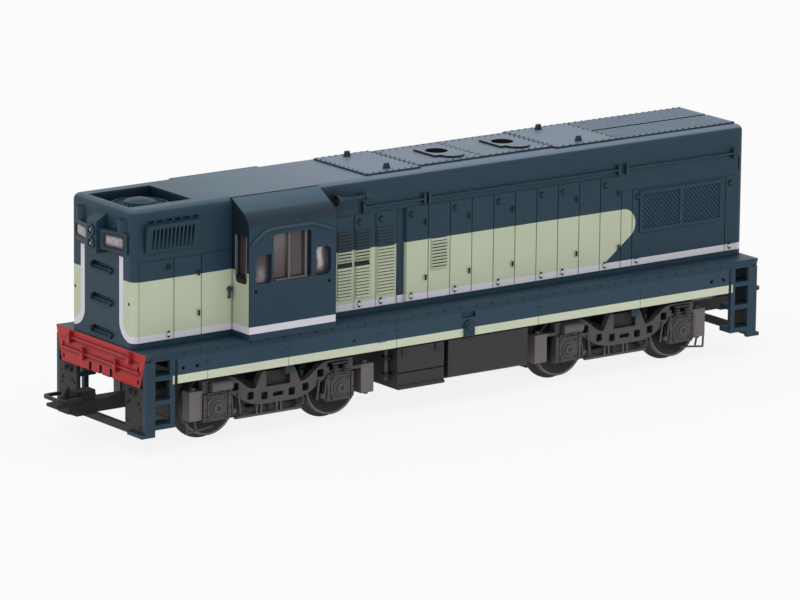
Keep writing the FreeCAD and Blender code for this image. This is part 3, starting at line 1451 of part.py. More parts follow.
def make_side_frames(name, centre, side):
    body, plate = prism(f"{name}_side", "XZ_Plane", frame_inner, frame_outline(centre), d.frame_thickness)
    lower_bends = (d.low_beam_half, half_base - d.neck_head)
    upper_bends = (half_base - d.neck_upper_head, d.low_beam_upper_half)
    for tag, radius, bends in (("lower", d.neck_radius, lower_bends),
                               ("upper", d.upper_neck_radius, upper_bends)):

        def at_bend(edge):
            offset = abs(middle_of(edge).x - float(centre))
            return along(edge, "y") and any(near(offset, bend) for bend in bends)

        plate = round_edges(body, f"{name}_{tag}_necks", plate, radius, at_bend)
    places = []
    for x, rise in ((d.inner_hole_offset, d.inner_hole_rise), (d.outer_hole_offset, d.outer_hole_rise),
                    (half_base - d.neck_hole_inset, d.neck_hole_rise)):
        places += [(centre + x, axle_height + rise), (centre - x, axle_height + rise)]
    end_hole = centre + half_base - d.end_hole_inset
    places += [(x, axle_height + d.end_hole_rise) for x in (end_hole, end_hole + d.end_hole_pitch)]
    holes = sketch_on(body, f"{name}_hole_outlines", "XZ_Plane", frame_outer)
    size = d.hole_half
    for x, z in places:
        polygon(holes, rectangle((x - size, x + size), (z - size, z + size)))
    half = d.centre_slot_length / 2
    low = axle_height + d.inner_hole_rise - d.centre_slot_height / 2
    polygon(holes, rectangle((centre - half, centre + half), (low, low + d.centre_slot_height)))
    pocket = feature(body, "Pocket", f"{name}_holes", holes, d.frame_thickness)

    def at_corner(edge):
        middle = middle_of(edge)
        return along(edge, "y") and any(near(abs(middle.x - float(x)), size)
                                        and near(abs(middle.z - float(z)), size) for x, z in places)

    round_edges(body, f"{name}_hole_corners", pocket, d.hole_corner, at_corner)
    # the jaws take the axleboxes
    high = axle_height + d.high_beam_rise
    reach = d.axlebox_half + d.running_gap
    jaws = [block(f"{name}_jaw_{i}", (x - reach, x + reach), (-frame_outer - past, past - frame_inner),
                  (axle_height - d.axlebox_drop, high))
            for i, x in enumerate((centre - half_base, centre + half_base))]
    pieces = [cut(f"{name}_side_plate", body, *jaws)]
    y = (-frame_outer, -frame_inner)
    foot = axle_height - d.pedestal_drop
    near_x = d.axlebox_half + d.pedestal_gap
    far_x = near_x + d.pedestal_width
    for i, x in enumerate((centre - half_base, centre + half_base)):
        for tag, way in (("left", -1), ("right", 1)):
            pieces.append(block(f"{name}_pedestal_{i}_{tag}", span(x + way * near_x, x + way * far_x), y,
                                (foot, high + d.high_beam_height / 2)))
        pieces.append(block(f"{name}_pedestal_tie_{i}", (x - far_x, x + far_x), y,
                            (foot, foot + d.pedestal_tie)))
    frame = fuse(f"{name}_side_joined", *pieces)
    sand_top = axle_height - d.sand_box_drop + d.sand_box_height
    straps = []
    for tag, start, end in (("inner", centre - side * half_base, centre - side * d.inner_sand_box),
                            ("outer", centre + side * half_base, centre + side * d.outer_sand_box)):
        strap = block(f"{name}_strap_{tag}", span(start, end), y, (high, sand_top))
        straps += both_sides(f"{name}_strap_{tag}", strap)
    right = fuse(f"{name}_frame_right", frame, straps[0], straps[2])
    left = fuse(f"{name}_frame_left", turned_copy(f"{name}_side", frame, centre), straps[1], straps[3])
    node(f"{name}_side_frames", right, left)


def make_axleboxes(name, centre):
    # box with a stepped round cover; the journal runs in it from behind
    boxes = []
    high = axle_height + d.high_beam_rise
    face = -frame_outer - d.axlebox_depth
    for i, x in enumerate((centre - half_base, centre + half_base)):
        box = block(f"{name}_axlebox_{i}", (x - d.axlebox_half, x + d.axlebox_half), (face, -frame_inner),
                    (axle_height - d.axlebox_drop, high))
        cover = cylinder(f"{name}_cover_{i}", d.cover_radius, d.cover_depth + past,
                         (x, face - d.cover_depth, axle_height), "y")
        front = face - d.cap_depth
        cap = cylinder(f"{name}_cap_{i}", d.cap_radius, d.cap_depth + past, (x, front, axle_height), "y")
        dimple = cylinder(f"{name}_dimple_{i}", d.cap_bore, d.cover_depth, (x, front, axle_height), "y")
        bore_end = -journal_end - d.journal_bore_gap
        bore = cylinder(f"{name}_journal_{i}", d.journal_radius + d.running_gap, past - frame_inner - bore_end,
                        (x, bore_end, axle_height), "y")
        boxes.append(cut(f"{name}_box_{i}", fuse(f"{name}_box_joined_{i}", box, cover, cap), dimple, bore))
    node(f"{name}_axleboxes", *both_sides(f"{name}_box", *boxes))


def make_brake_gear(name, centre):
    # brake cylinder on one end of each side frame, and hangers down to a long pull bar
    z = axle_height + d.cylinder_rise
    end = centre - d.cylinder_offset
    start = end - d.cylinder_length
    barrel = cylinder(f"{name}_brake_barrel", d.cylinder_radius, d.cylinder_length,
                      (start, -frame_outer - d.cylinder_standoff, z), "x")
    behind = block(f"{name}_brake_back", (start - past, end + past), (-frame_outer, -frame_inner),
                   (z - 2 * d.cylinder_radius, z + 2 * d.cylinder_radius))
    y = (-frame_outer, -(frame_inner + frame_outer) / 2)
    foot = axle_height - d.hanger_drop
    middle = centre - d.hanger_shift
    pieces = [block(f"{name}_pull_bar", (middle - d.brake_bar_half, middle + d.brake_bar_half), y,
                    (foot, foot + d.brake_bar_height))]
    for i, x in enumerate((middle - d.hanger_spacing / 2, middle + d.hanger_spacing / 2)):
        for tag, way in (("left", -1), ("right", 1)):
            near_x = x + way * d.hanger_gap / 2
            pieces.append(block(f"{name}_hanger_{i}_{tag}", span(near_x, near_x + way * d.hanger_width), y,
                                (foot, axle_height - d.low_beam_drop)))
    gear = [cut(f"{name}_brake_cylinder", barrel, behind), fuse(f"{name}_rigging", *pieces)]
    turned = [turned_copy(f"{name}_brake_{i}", piece, centre) for i, piece in enumerate(gear)]
    node(f"{name}_brake_gear", *gear, *turned)


def make_sand_boxes(name, centre, side):
    boxes = []
    low = axle_height - d.sand_box_drop
    top = low + d.sand_box_height
    y = (-frame_outer, -frame_outer + d.sand_box_depth)
    for tag, start, way in (("inner", centre - side * d.inner_sand_box, -side),
                            ("outer", centre + side * d.outer_sand_box, side)):
        box = block(f"{name}_sand_{tag}", span(start, start + way * d.sand_box_width), y, (low, top))
        cap = cylinder(f"{name}_sand_cap_{tag}", d.sand_cap_radius, d.sand_cap_height,
                       (start + way * d.sand_box_width / 2, -frame_outer + d.sand_box_depth / 2, top))
        boxes.append(fuse(f"{name}_sand_joined_{tag}", box, cap))
    node(f"{name}_sand_boxes", *both_sides(f"{name}_sand", *boxes))


def make_coupler(name, centre, side):
    # arm with a square head, an upright hook on it and a tongue before it; the loop is held in a lug behind
    pivot_x = centre + side * d.coupler_pivot
    head_x = centre + side * d.head_front
    back_x = head_x - side * d.head_length
    arm = block(f"{name}_coupler_bar", span(pivot_x, back_x + side * past),
                (-d.arm_half_width, d.arm_half_width), (arm_bottom, arm_bottom + d.arm_height))
    eye = cylinder(f"{name}_coupler_eye", d.coupler_eye_radius, d.arm_height, (pivot_x, 0, arm_bottom))
    low = arm_bottom + d.head_rise
    top = low + d.head_height
    head = block(f"{name}_coupler_head", span(back_x, head_x), (-d.head_half_width, d.head_half_width),
                 (low, top))
    tongue = block(f"{name}_tongue", span(back_x, head_x + side * d.tongue_length),
                   (-d.tongue_half_width, d.tongue_half_width),
                   (top - d.tongue_drop - d.tongue_thickness, top - d.tongue_drop))
    front = head_x - side * d.hook_inset
    back = front - side * d.hook_thickness
    tip = front + side * d.hook_beak
    hook, _ = prism(f"{name}_hook", "XZ_Plane", -d.hook_half_width,
                    [(back, low), (front, low), (front, top), (tip, top + d.beak_height),
                     (back + side * d.hook_beak, top + d.hook_rise), (back, top + d.hook_rise)],
                    d.hook_half_width * 2)
    ring_low = arm_bottom + d.loop_rise
    ring_top = ring_low + d.loop_thickness
    lug = block(f"{name}_loop_lug", span(head_x - side * d.lug_back, head_x - side * d.lug_front),
                (-d.lug_half, d.lug_half), (arm_bottom - d.lug_foot, ring_top + d.lug_head - d.loop_thickness))
    bore = cylinder(f"{name}_coupler_bore", d.coupler_pin_radius + d.running_gap, d.arm_height + 2 * past,
                    (pivot_x, 0, arm_bottom - past))
    rear = head_x - side * d.loop_inset
    gap = d.running_gap
    reach = d.lug_half + past
    slot = block(f"{name}_loop_slot", span(rear - side * gap, rear + side * (d.loop_bar + gap)),
                 (-reach, reach), (ring_low - gap, ring_top + gap))
    joined = fuse(f"{name}_arm_joined", arm, eye, head, tongue, hook, lug)
    node(f"{name}_coupler_arm", cut(f"{name}_arm_bored", joined, bore, slot))
    x = span(rear, centre + side * d.loop_front)
    loop, ring = prism(f"{name}_loop", "XY_Plane", ring_low,
                       rectangle(x, (-d.loop_half_width, d.loop_half_width)), d.loop_thickness)
    round_edges(loop, f"{name}_loop_corners", ring, d.loop_corner, lambda edge: along(edge, "z"))
    opening = sketch_on(loop, f"{name}_loop_opening", "XY_Plane", ring_low)
    inner = d.loop_half_width - d.loop_bar
    polygon(opening, rectangle((x[0] + d.loop_bar, x[1] - d.loop_bar), (-inner, inner)))
    hole = feature(loop, "Pocket", f"{name}_loop_hole", opening, d.loop_thickness)
    hole.Reversed = True
    round_edges(loop, f"{name}_loop_inner_corners", hole, d.loop_corner - d.loop_bar,
                lambda edge: along(edge, "z") and near(abs(middle_of(edge).y), inner))
    node(f"{name}_coupler_loop", loop)


# Under the deck

tank_half = d.deck_half_width - d.tank_setback
tank_neck = d.deck_half_width - d.sill_thickness - d.tank_clearance
tank_shoulder = sill_bottom - d.tank_clearance
box_reach = bogie_centre - d.inner_sand_box - d.sand_box_width
box_front = -(box_reach - d.box_swing_gap)
box_rear = box_front + d.box_length


def tank_section(low):
    # cross section that fills the space below the sills and rises between them to the deck
    right = [(tank_half, low), (tank_half, tank_shoulder), (tank_neck, tank_shoulder), (tank_neck, sill_top)]
    return right + [(-y, z) for y, z in reversed(right)]


def make_tank():
    low = sill_top - d.tank_drop
    front = box_rear + d.tank_gap
    tank, pad = prism("fuel_tank_body", "YZ_Plane", front, tank_section(low),
                      box_reach - d.tank_swing_gap - front)
    round_edges(tank, "fuel_tank_corners", pad, d.tank_corner,
                lambda edge: along(edge, "x") and near(middle_of(edge).z, low))
    node("fuel_tank", tank)


def make_battery_box():
    low = sill_top - d.box_drop
    face = tank_half
    box, _ = prism("battery_block", "YZ_Plane", box_front, tank_section(low), box_rear - box_front)
    raised = [box]
    flange = block("battery_flange", (box_front, box_rear), (face, face + d.box_flange),
                   (low, low + d.box_flange_height))
    raised += both_sides("battery_flange", flange)
    for i, x in enumerate((box_front + d.box_hinge_inset, box_rear - d.box_hinge_inset - d.box_hinge_width)):
        hinge = block(f"battery_hinge_{i}", (x, x + d.box_hinge_width), (face, face + d.box_hinge_depth),
                      (tank_shoulder - d.box_hinge_height, tank_shoulder))
        raised += both_sides(f"battery_hinge_{i}", hinge)
    z = low + d.box_groove_rise
    groove = block("battery_groove", (box_front - past, box_rear + past), (face - d.box_groove, face + past),
                   (z, z + d.box_groove))
    grooves = both_sides("battery_groove", groove)
    node("battery_box", cut("battery_cut", fuse("battery_joined", *raised), *grooves))


def make_pipes():
    pipe = cylinder("drain_pipe", d.pipe_radius, d.pipe_drop,
                    (box_front - d.pipe_setback, d.pipe_offset, sill_top - d.pipe_drop))
    node("drain_pipes", *both_sides("drain_pipe", pipe))


def make_drive_block():
    drive = block("drive_block_solid", (-cab_rear + d.drive_start, hood_end - d.drive_end),
                  (-d.drive_half_width, d.drive_half_width), (d.deck_top, d.deck_top + d.drive_height))
    node("motor_and_weight", drive)


make_deck()
make_sills()
make_bolsters()
for label, side in (("front_beam", -1), ("rear_beam", 1)):
    make_beam(label, side)
for label, side in (("front_pilot", -1), ("rear_pilot", 1)):
    make_pilot(label, side)
for end, side_x in (("front", -1), ("rear", 1)):
    for hand, side_y in (("right", -1), ("left", 1)):
        make_steps(f"{end}_{hand}_steps", side_x, side_y)
make_short_hood()
make_long_hood()
make_doors()
make_louvred_doors()
make_nose_louvres()
make_side_grilles()
make_lamp_housing()
make_fan()
make_roof()
make_stacks()
make_horn()
make_handrails()
make_fillers()
make_cab()
make_cab_roof()
make_window_frames()
make_cab_glass()
make_cab_floor()
for name, side in (("front", -1), ("rear", 1)):
    centre = side * bogie_centre
    make_gearbox(f"{name}_bogie", centre, side)
    make_side_frames(f"{name}_bogie", centre, side)
    make_axleboxes(f"{name}_bogie", centre)
    make_brake_gear(f"{name}_bogie", centre)
    make_sand_boxes(f"{name}_bogie", centre, side)
    for tag, way in (("a", -1), ("b", 1)):
        make_wheelset(f"{name}_wheelset_{tag}", centre + way * half_base)
    make_coupler(name, centre, side)
make_tank()
make_battery_box()
make_pipes()
make_drive_block()

doc.recompute()

for item in doc.Objects:
    if {"Invalid", "Error"} & set(item.State):
        raise RuntimeError(f"{item.Name} did not compute: {item.State}")
for item in nodes:
    if item.Shape.isNull() or not item.Shape.isValid() or not item.Shape.Solids:
        raise RuntimeError(f"{item.Label} has no valid solid")

os.makedirs("parts", exist_ok=True)
for item in nodes:
    item.Shape.exportStep(f"parts/{item.Label}.step")
    print(f"{item.Label}: {len(item.Shape.Solids)} solids, {item.Shape.Volume:.1f} mm3")
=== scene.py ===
import math

import bmesh
import bpy
from mathutils import Matrix, Vector


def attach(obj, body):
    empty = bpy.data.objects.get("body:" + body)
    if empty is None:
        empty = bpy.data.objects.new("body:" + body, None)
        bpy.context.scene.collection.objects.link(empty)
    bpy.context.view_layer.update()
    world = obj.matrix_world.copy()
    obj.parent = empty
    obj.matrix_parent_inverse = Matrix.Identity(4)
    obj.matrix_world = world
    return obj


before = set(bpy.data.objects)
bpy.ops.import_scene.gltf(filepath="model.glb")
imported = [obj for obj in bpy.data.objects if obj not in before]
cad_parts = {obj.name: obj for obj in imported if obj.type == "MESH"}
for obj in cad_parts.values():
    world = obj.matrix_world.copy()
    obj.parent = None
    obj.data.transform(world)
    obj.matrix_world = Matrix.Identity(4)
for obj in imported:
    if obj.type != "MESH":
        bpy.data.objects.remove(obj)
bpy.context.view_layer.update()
mm = 0.001
print("frame loaded:", len(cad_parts), "nodes")


class Value:  # a shader socket that takes part in sums
    def __init__(self, finish, socket):
        self.finish = finish
        self.socket = socket

    def calc(self, operation, first, second, clamp=False):
        settings = {"operation": operation, "use_clamp": clamp}
        return self.finish.node("ShaderNodeMath", settings, {0: first, 1: second})

    def __add__(self, other):
        return self.calc("ADD", self, other)

    def __sub__(self, other):
        return self.calc("SUBTRACT", self, other)

    def __mul__(self, other):
        return self.calc("MULTIPLY", self, other)

    def __truediv__(self, other):
        return self.calc("DIVIDE", self, other)

    def __pow__(self, other):
        return self.calc("POWER", self, other)

    def __abs__(self):
        return self.calc("ABSOLUTE", self, 0.0)

    def __rsub__(self, other):
        return self.calc("SUBTRACT", other, self)

    __radd__ = __add__
    __rmul__ = __mul__

    def above(self, level, soft=0.05):  # 1 where the value is over the level
        return self.calc("MULTIPLY", self - (level - soft / 2), 1 / soft, clamp=True)

    def below(self, level, soft=0.05):
        return 1 - self.above(level, soft)

    def within(self, low, high, soft=0.05):
        return self.above(low, soft) * self.below(high, soft)

    def atLeast(self, other):
        return self.calc("MAXIMUM", self, other)

    def fraction(self):  # what follows the decimal point
        return self.calc("FRACT", self, 0.0)


class Finish:  # one material and the few nodes that every finish needs; x, y and z are in mm
    def __init__(self, name):
        self.material = bpy.data.materials.new(name)
        self.material.use_nodes = True
        self.tree = self.material.node_tree
        self.tree.nodes.clear()
        coords = self.node("ShaderNodeTexCoord", {}, {}, "Object")
        scaled = {0: coords, "Scale": 1 / mm}
        self.point = self.node("ShaderNodeVectorMath", {"operation": "SCALE"}, scaled)
        self.x, self.y, self.z = [
            self.node("ShaderNodeSeparateXYZ", {}, {0: self.point}, axis) for axis in "XYZ"
        ]

    def node(self, kind, settings, sockets, output=0):
        made = self.tree.nodes.new(kind)
        for key, setting in settings.items():
            setattr(made, key, setting)
        for key, value in sockets.items():
            if isinstance(value, Value):
                self.tree.links.new(value.socket, made.inputs[key])
            else:
                made.inputs[key].default_value = value
        return Value(self, made.outputs[output])

    def noise(self, scale, detail=2.0, rough=0.5):  # scale is per mm
        sockets = {"Vector": self.point, "Scale": scale, "Detail": detail, "Roughness": rough}
        return self.node("ShaderNodeTexNoise", {}, sockets)

    def mix(self, factor, first, second):
        sockets = {0: factor, 6: first, 7: second}
        return self.node("ShaderNodeMix", {"data_type": "RGBA"}, sockets, 2)

    def tint(self, colour, shade):  # colour times a number
        grey = self.node("ShaderNodeCombineXYZ", {}, {0: shade, 1: shade, 2: shade})
        settings = {"data_type": "RGBA", "blend_type": "MULTIPLY"}
        return self.node("ShaderNodeMix", settings, {0: 1.0, 6: colour, 7: grey}, 2)

    def edges(self, radius):  # the rounded normal, and 1 along sharp edges
        rounded = self.node("ShaderNodeBevel", {"samples": 4}, {"Radius": radius * mm})
        flat = self.node("ShaderNodeNewGeometry", {}, {}, "Normal")
        settings = {"operation": "DOT_PRODUCT"}
        dot = self.node("ShaderNodeVectorMath", settings, {0: rounded, 1: flat}, "Value")
        return rounded, (1 - dot).above(0.1, 0.2)

    def facing(self, axis):  # how far the face looks along an axis
        normal = self.node("ShaderNodeNewGeometry", {}, {}, "Normal")
        return self.node("ShaderNodeSeparateXYZ", {}, {0: normal}, axis)

    def crevices(self, reach):  # 1 in the open, 0 deep in a seam
        sockets = {"Distance": reach * mm}
        return self.node("ShaderNodeAmbientOcclusion", {"samples": 4}, sockets, "AO")

    def surface(self, colour, rough, **fixed):
        bsdf = self.tree.nodes.new("ShaderNodeBsdfPrincipled")
        for key, value in {"Base Color": colour, "Roughness": rough, **fixed}.items():
            if isinstance(value, Value):
                self.tree.links.new(value.socket, bsdf.inputs[key])
            else:
                bsdf.inputs[key].default_value = value
        out = self.tree.nodes.new("ShaderNodeOutputMaterial")
        self.tree.links.new(bsdf.outputs[0], out.inputs["Surface"])
        return self.material

    def moulded(self, colour, rough, feel, **fixed):
        # cloudy colour, painted highlights along the edges, painted shade in seams and crevices,
        # fine grain
        cloud = self.noise(feel["cloud"], 3.0)
        speck = self.noise(feel["speck"], 2.0, 0.7)
        rounded, edge = self.edges(feel["edge"])
        seam = self.crevices(feel["seamShadeReach"])
        shade = 1 + feel["cloudDepth"] * (cloud - 0.5) + feel["speckDepth"] * (speck - 0.5)
        shade = shade * (1 - feel["seamShadeDepth"] * (1 - seam))
        base = self.tint(colour, shade)
        highlit = edge * (feel["edgeHighlight"] * 2) * cloud
        base = self.mix(highlit, base, feel["edgeHighlightColour"])
        roughness = rough + feel["roughDepth"] * (cloud - 0.5) + feel["speckRough"] * (speck - 0.5)
        grain = self.noise(feel["grain"], 3.0, 0.6)
        sockets = {"Strength": feel["bump"], "Distance": feel["bumpDepth"] * mm}
        sockets.update({"Height": grain, "Normal": rounded})
        bumped = self.node("ShaderNodeBump", {}, sockets)
        return self.surface(base, roughness, Normal=bumped, **fixed)


def srgb(red, green, blue):  # display values 0 to 255 as a linear colour
    def curve(level):
        level = level / 255
        return level / 12.92 if level <= 0.04045 else ((level + 0.055) / 1.055) ** 2.4
    return (curve(red), curve(green), curve(blue), 1.0)


# the pale roof, cab-roof and tread blues and the mesh blue are painted light, the deep blue is
# painted shade, and the wheels' bright line is a painted highlight
paints = {
    "blue": srgb(29, 57, 73), "stepBlue": srgb(36, 61, 77), "sillBlue": srgb(40, 66, 84),
    "paintedShadeBlue": srgb(13, 27, 38), "paintedLightMeshBlue": srgb(44, 82, 104), "paintedLightBlue": srgb(112, 128, 146),
    "paintedLightFrontRoof": srgb(66, 90, 106), "paintedLightRearRoof": srgb(100, 120, 138), "paintedLightCabRoof": srgb(74, 100, 116),
    "cream": srgb(194, 202, 176), "sillCream": srgb(212, 219, 194), "white": srgb(218, 216, 225),
    "red": srgb(182, 42, 42), "shadedRed": srgb(92, 20, 24), "gap": srgb(16, 18, 21),
    "sandGrey": srgb(116, 112, 111), "lightGrey": srgb(100, 100, 104), "darkGrey": srgb(86, 84, 86),
    "tankGrey": srgb(56, 55, 57), "pilotGrey": srgb(50, 49, 50), "black": srgb(30, 29, 31),
    "silver": srgb(106, 102, 106), "rivet": srgb(18, 30, 40), "bolt": srgb(52, 66, 80),
    "tread": srgb(96, 116, 133), "seat": srgb(72, 60, 52),
    "wheelDisc": srgb(30, 29, 29), "wheelTyre": srgb(60, 58, 57), "paintedWheelHighlight": srgb(134, 130, 126),
}
# how a moulded surface feels: noise scales per mm, lengths in mm; the pale edges are a painted
# highlight and the dark seams are painted shade
paintFeel = {
    "cloud": 0.11, "cloudDepth": 0.12, "speck": 2.4, "speckDepth": 0.08, "speckRough": 0.06,
    "edge": 0.14, "edgeHighlight": 0.16, "edgeHighlightColour": srgb(104, 124, 138), "seamShadeReach": 0.9,
    "seamShadeDepth": 0.7, "roughDepth": 0.14, "grain": 7.0, "bump": 0.08, "bumpDepth": 0.03,
}
plasticFeel = {
    "cloud": 0.2, "cloudDepth": 0.2, "speck": 3.1, "speckDepth": 0.14, "speckRough": 0.06,
    "edge": 0.14, "edgeHighlight": 0.2, "edgeHighlightColour": srgb(112, 108, 110), "seamShadeReach": 2.4,
    "seamShadeDepth": 0.97, "roughDepth": 0.18, "grain": 5.0, "bump": 0.2, "bumpDepth": 0.03,
}
hoodFeel = {**paintFeel, "seamShadeDepth": 0.5}
beamFeel = {**paintFeel, "edgeHighlightColour": srgb(224, 120, 110), "seamShadeReach": 1.6, "seamShadeDepth": 0.97}
sandFeel = {**plasticFeel, "seamShadeDepth": 0.7}
frameFeel = {**paintFeel, "edgeHighlightColour": srgb(210, 210, 212)}
fabricFeel = {**plasticFeel, "speck": 9.0, "speckDepth": 0.4, "bump": 0.5}
edgeWave = {"scale": 0.8, "hood": 0.06, "cabAndSill": 0.05}  # a masked edge isn't ruler straight


def wavyHeight(finish, depth):
    return finish.z + depth * (finish.noise(edgeWave["scale"]) - 0.5)


# heights and lengths of the bands, and how far out the hood's layers lie
bands = {
    "creamTop": 32.1, "creamFoot": 21.9, "whiteFoot": 20.55, "noseEnd": -40.0, "noseTop": 36.4,
    "noseCorner": (9.5, 24.3), "noseCream": 2.4, "noseWhite": 3.7,
    "tailCentre": (41.8, 29.05), "tailRadius": 3.05, "tailSlope": 37.0,
    "channelX": (-12.35, -10.35), "channelFace": 10.3, "doorFace": 10.5,
}


def hoodBands(x, z, across):
    # cream over white, round the nose's corners and with a slanting round end at the rear
    cornerY, cornerZ = bands["noseCorner"]
    outY, outZ = (cornerY - across).atLeast(0.0), (cornerZ - z).atLeast(0.0)
    reach = (outY * outY + outZ * outZ) ** 0.5
    noseCream = reach.below(bands["noseCream"]) * z.below(bands["creamTop"])
    noseWhite = reach.within(bands["noseCream"], bands["noseWhite"]) * z.below(bands["noseTop"])
    centreX, centreZ = bands["tailCentre"]
    slope = math.radians(bands["tailSlope"])
    offX, offZ = x - centreX, z - centreZ
    along = offX * math.cos(slope) + offZ * math.sin(slope)
    under = offX * math.sin(slope) - offZ * math.cos(slope)
    disc = ((offX * offX + offZ * offZ) ** 0.5).below(bands["tailRadius"])
    tail = disc.atLeast(offX.below(0.0)).atLeast(along.below(0.0))
    tail = tail * under.below(bands["tailRadius"])
    channel = x.within(*bands["channelX"]) * across.below(bands["channelFace"])
    sideCream = tail * z.within(bands["creamFoot"], bands["creamTop"]) * (1 - channel)
    sideWhite = z.within(bands["whiteFoot"], bands["creamFoot"])
    onNose = x.below(bands["noseEnd"])
    cream = onNose * noseCream + (1 - onNose) * sideCream
    white = onNose * noseWhite + (1 - onNose) * sideWhite
    return cream, white


latchesAndPaintedShade = {
    "latchX": (-10.0, 44.6), "latchFace": 10.8, "lowLatch": (24.2, 25.4), "highLatch": (31.4, 36.3),
    "slotX": (-26.2, -18.7), "slotZ": (28.95, 29.9), "channelX": (-12.4, -11.9),
    "channelZ": (20.6, 38.8), "louvreX": (-26.1, -13.0), "posts": ((-22.95, -21.9), (-18.8, -16.8)),
    "louvreZ": (22.9, 36.3), "pitch": 0.62, "gapStart": 0.68, "smallX": (-4.2, -0.75),
    "smallZ": (26.2, 32.1), "smallGapStart": 0.72, "hole": (9.0, 27.9), "holeSquare": 0.1,
    "holeWall": -71.5,
}


# the latches' own dark colour, and painted shade in the slot, the channel's edge, the slats' gaps
# and the nose's holes
def hoodLatchesAndPaintedShade(finish, x, z, across):
    dark = latchesAndPaintedShade
    onDoor = across.above(bands["doorFace"])
    highLatch = z.within(*dark["highLatch"]) * x.below(dark["latchX"][1])
    latch = across.above(dark["latchFace"]) * z.within(*dark["lowLatch"]).atLeast(highLatch)
    latch = latch * x.above(dark["latchX"][0]).atLeast(x.below(bands["noseEnd"]))
    # painted shade in the slot across the first two louvred doors, and a painted shadow along the
    # front edge of the channel behind them
    slot = x.within(*dark["slotX"]) * z.within(*dark["slotZ"]) * onDoor
    channel = across.below(bands["channelFace"]) * z.within(*dark["channelZ"])
    channel = channel * x.within(*dark["channelX"])
    # painted shade in the gaps between the slats
    phase = ((finish.z - dark["louvreZ"][0]) / dark["pitch"]).fraction()
    firstPost, secondPost = dark["posts"]
    slats = (x.within(*dark["louvreX"]) - x.within(*firstPost) - x.within(*secondPost)).atLeast(0.0)
    gaps = slats * phase.above(dark["gapStart"], 0.1) * finish.z.within(*dark["louvreZ"]) * onDoor
    small = x.within(*dark["smallX"]) * finish.z.within(*dark["smallZ"]) * onDoor
    small = small * phase.above(dark["smallGapStart"], 0.1)
    # a small hole near each side of the nose, painted dark for the shade inside it
    holeY, holeZ = dark["hole"]
    hole = ((across - holeY) ** 2 + (finish.z - holeZ) ** 2).below(dark["holeSquare"], 0.06)
    hole = hole * x.below(dark["holeWall"])
    return latch.atLeast(slot).atLeast(channel).atLeast(gaps).atLeast(small).atLeast(hole)


hoodPaintedLightAndShade = {
    "roofLine": 44.9, "roofFade": (-34.0, 40.0), "wallFace": 10.2,
    "nookX": (-32.0, -24.5), "nookZ": (39.6, 44.6), "nook": 0.75,
    "wellX": (-70.6, -56.5), "wellHalf": 7.1, "wellZ": (40.0, 45.1), "well": 0.9,
    "meshX": (46.3, 65.9), "meshZ": (27.5, 34.7), "meshFace": 10.6, "bars": 0.05, "behind": 0.8,
}


def hoodColour(finish):
    shades = hoodPaintedLightAndShade
    x, across = finish.x, abs(finish.y)
    z = wavyHeight(finish, edgeWave["hood"])
    cream, white = hoodBands(x, z, across)
    colour = finish.mix(cream, paints["blue"], paints["cream"])
    colour = finish.mix(white, colour, paints["white"])
    # painted light: the roof's top is lighter, as lit from above, and less so over the short hood
    top = finish.facing("Z").above(0.55, 0.3) * finish.z.above(shades["roofLine"], 0.3)
    litCrown = finish.mix(x.above(*shades["roofFade"]), paints["paintedLightFrontRoof"], paints["paintedLightBlue"])
    colour = finish.mix(top, colour, litCrown)
    # shade behind the cab's shoulder
    onWall = across.above(shades["wallFace"])
    nook = x.within(*shades["nookX"], 5.0) * finish.z.within(*shades["nookZ"], 1.5) * onWall
    colour = finish.mix(nook * shades["nook"], colour, paints["paintedShadeBlue"])
    # painted shade: the fan's recess is nearly black inside
    well = x.within(*shades["wellX"]) * across.below(shades["wellHalf"])
    well = well * finish.z.within(*shades["wellZ"], 0.5)
    colour = finish.mix(well * shades["well"], colour, paints["paintedShadeBlue"])
    # painted light: the radiator's mesh is lightened against the shade on it, most of all behind
    # its bars
    mesh = x.within(*shades["meshX"]) * finish.z.within(*shades["meshZ"]) * onWall
    mesh = mesh * (shades["bars"] + shades["behind"] * across.below(shades["meshFace"]))
    colour = finish.mix(mesh, colour, paints["paintedLightMeshBlue"])
    return finish.mix(hoodLatchesAndPaintedShade(finish, x, z, across), colour, paints["gap"])


roofScheme = {"rearPlates": 41.9, "stackBore": 45.9}


def roofColour(finish):
    # painted light: the tops are lighter blue, as lit from above, a little less towards the rear;
    # the sides of the plates keep the plain blue
    rear = finish.x.above(roofScheme["rearPlates"], 0.3)
    top = finish.mix(rear, paints["paintedLightBlue"], paints["paintedLightRearRoof"])
    return finish.mix(finish.facing("Z").above(0.5, 0.4), paints["blue"], top)


def stackColour(finish):
    # painted light on the upward faces, and painted shade on the rest and down in the bores
    rim = finish.mix(finish.facing("Z").above(0.6, 0.3), paints["gap"], paints["paintedLightBlue"])
    return finish.mix(finish.z.below(roofScheme["stackBore"]), rim, paints["gap"])


cabScheme = {
    "sideFace": 15.9, "frontWall": -49.9, "white": (20.6, 21.95), "cream": (21.95, 32.1),
    "creamShade": 0.9, "shoulder": (43.6, 3.4), "eavesZ": (40.7, 43.6), "eavesY": (14.0, 16.2),
    "frontShade": (31.0, 1.0), "shade": 0.85, "lipFace": 16.22, "lip": 0.7,
}


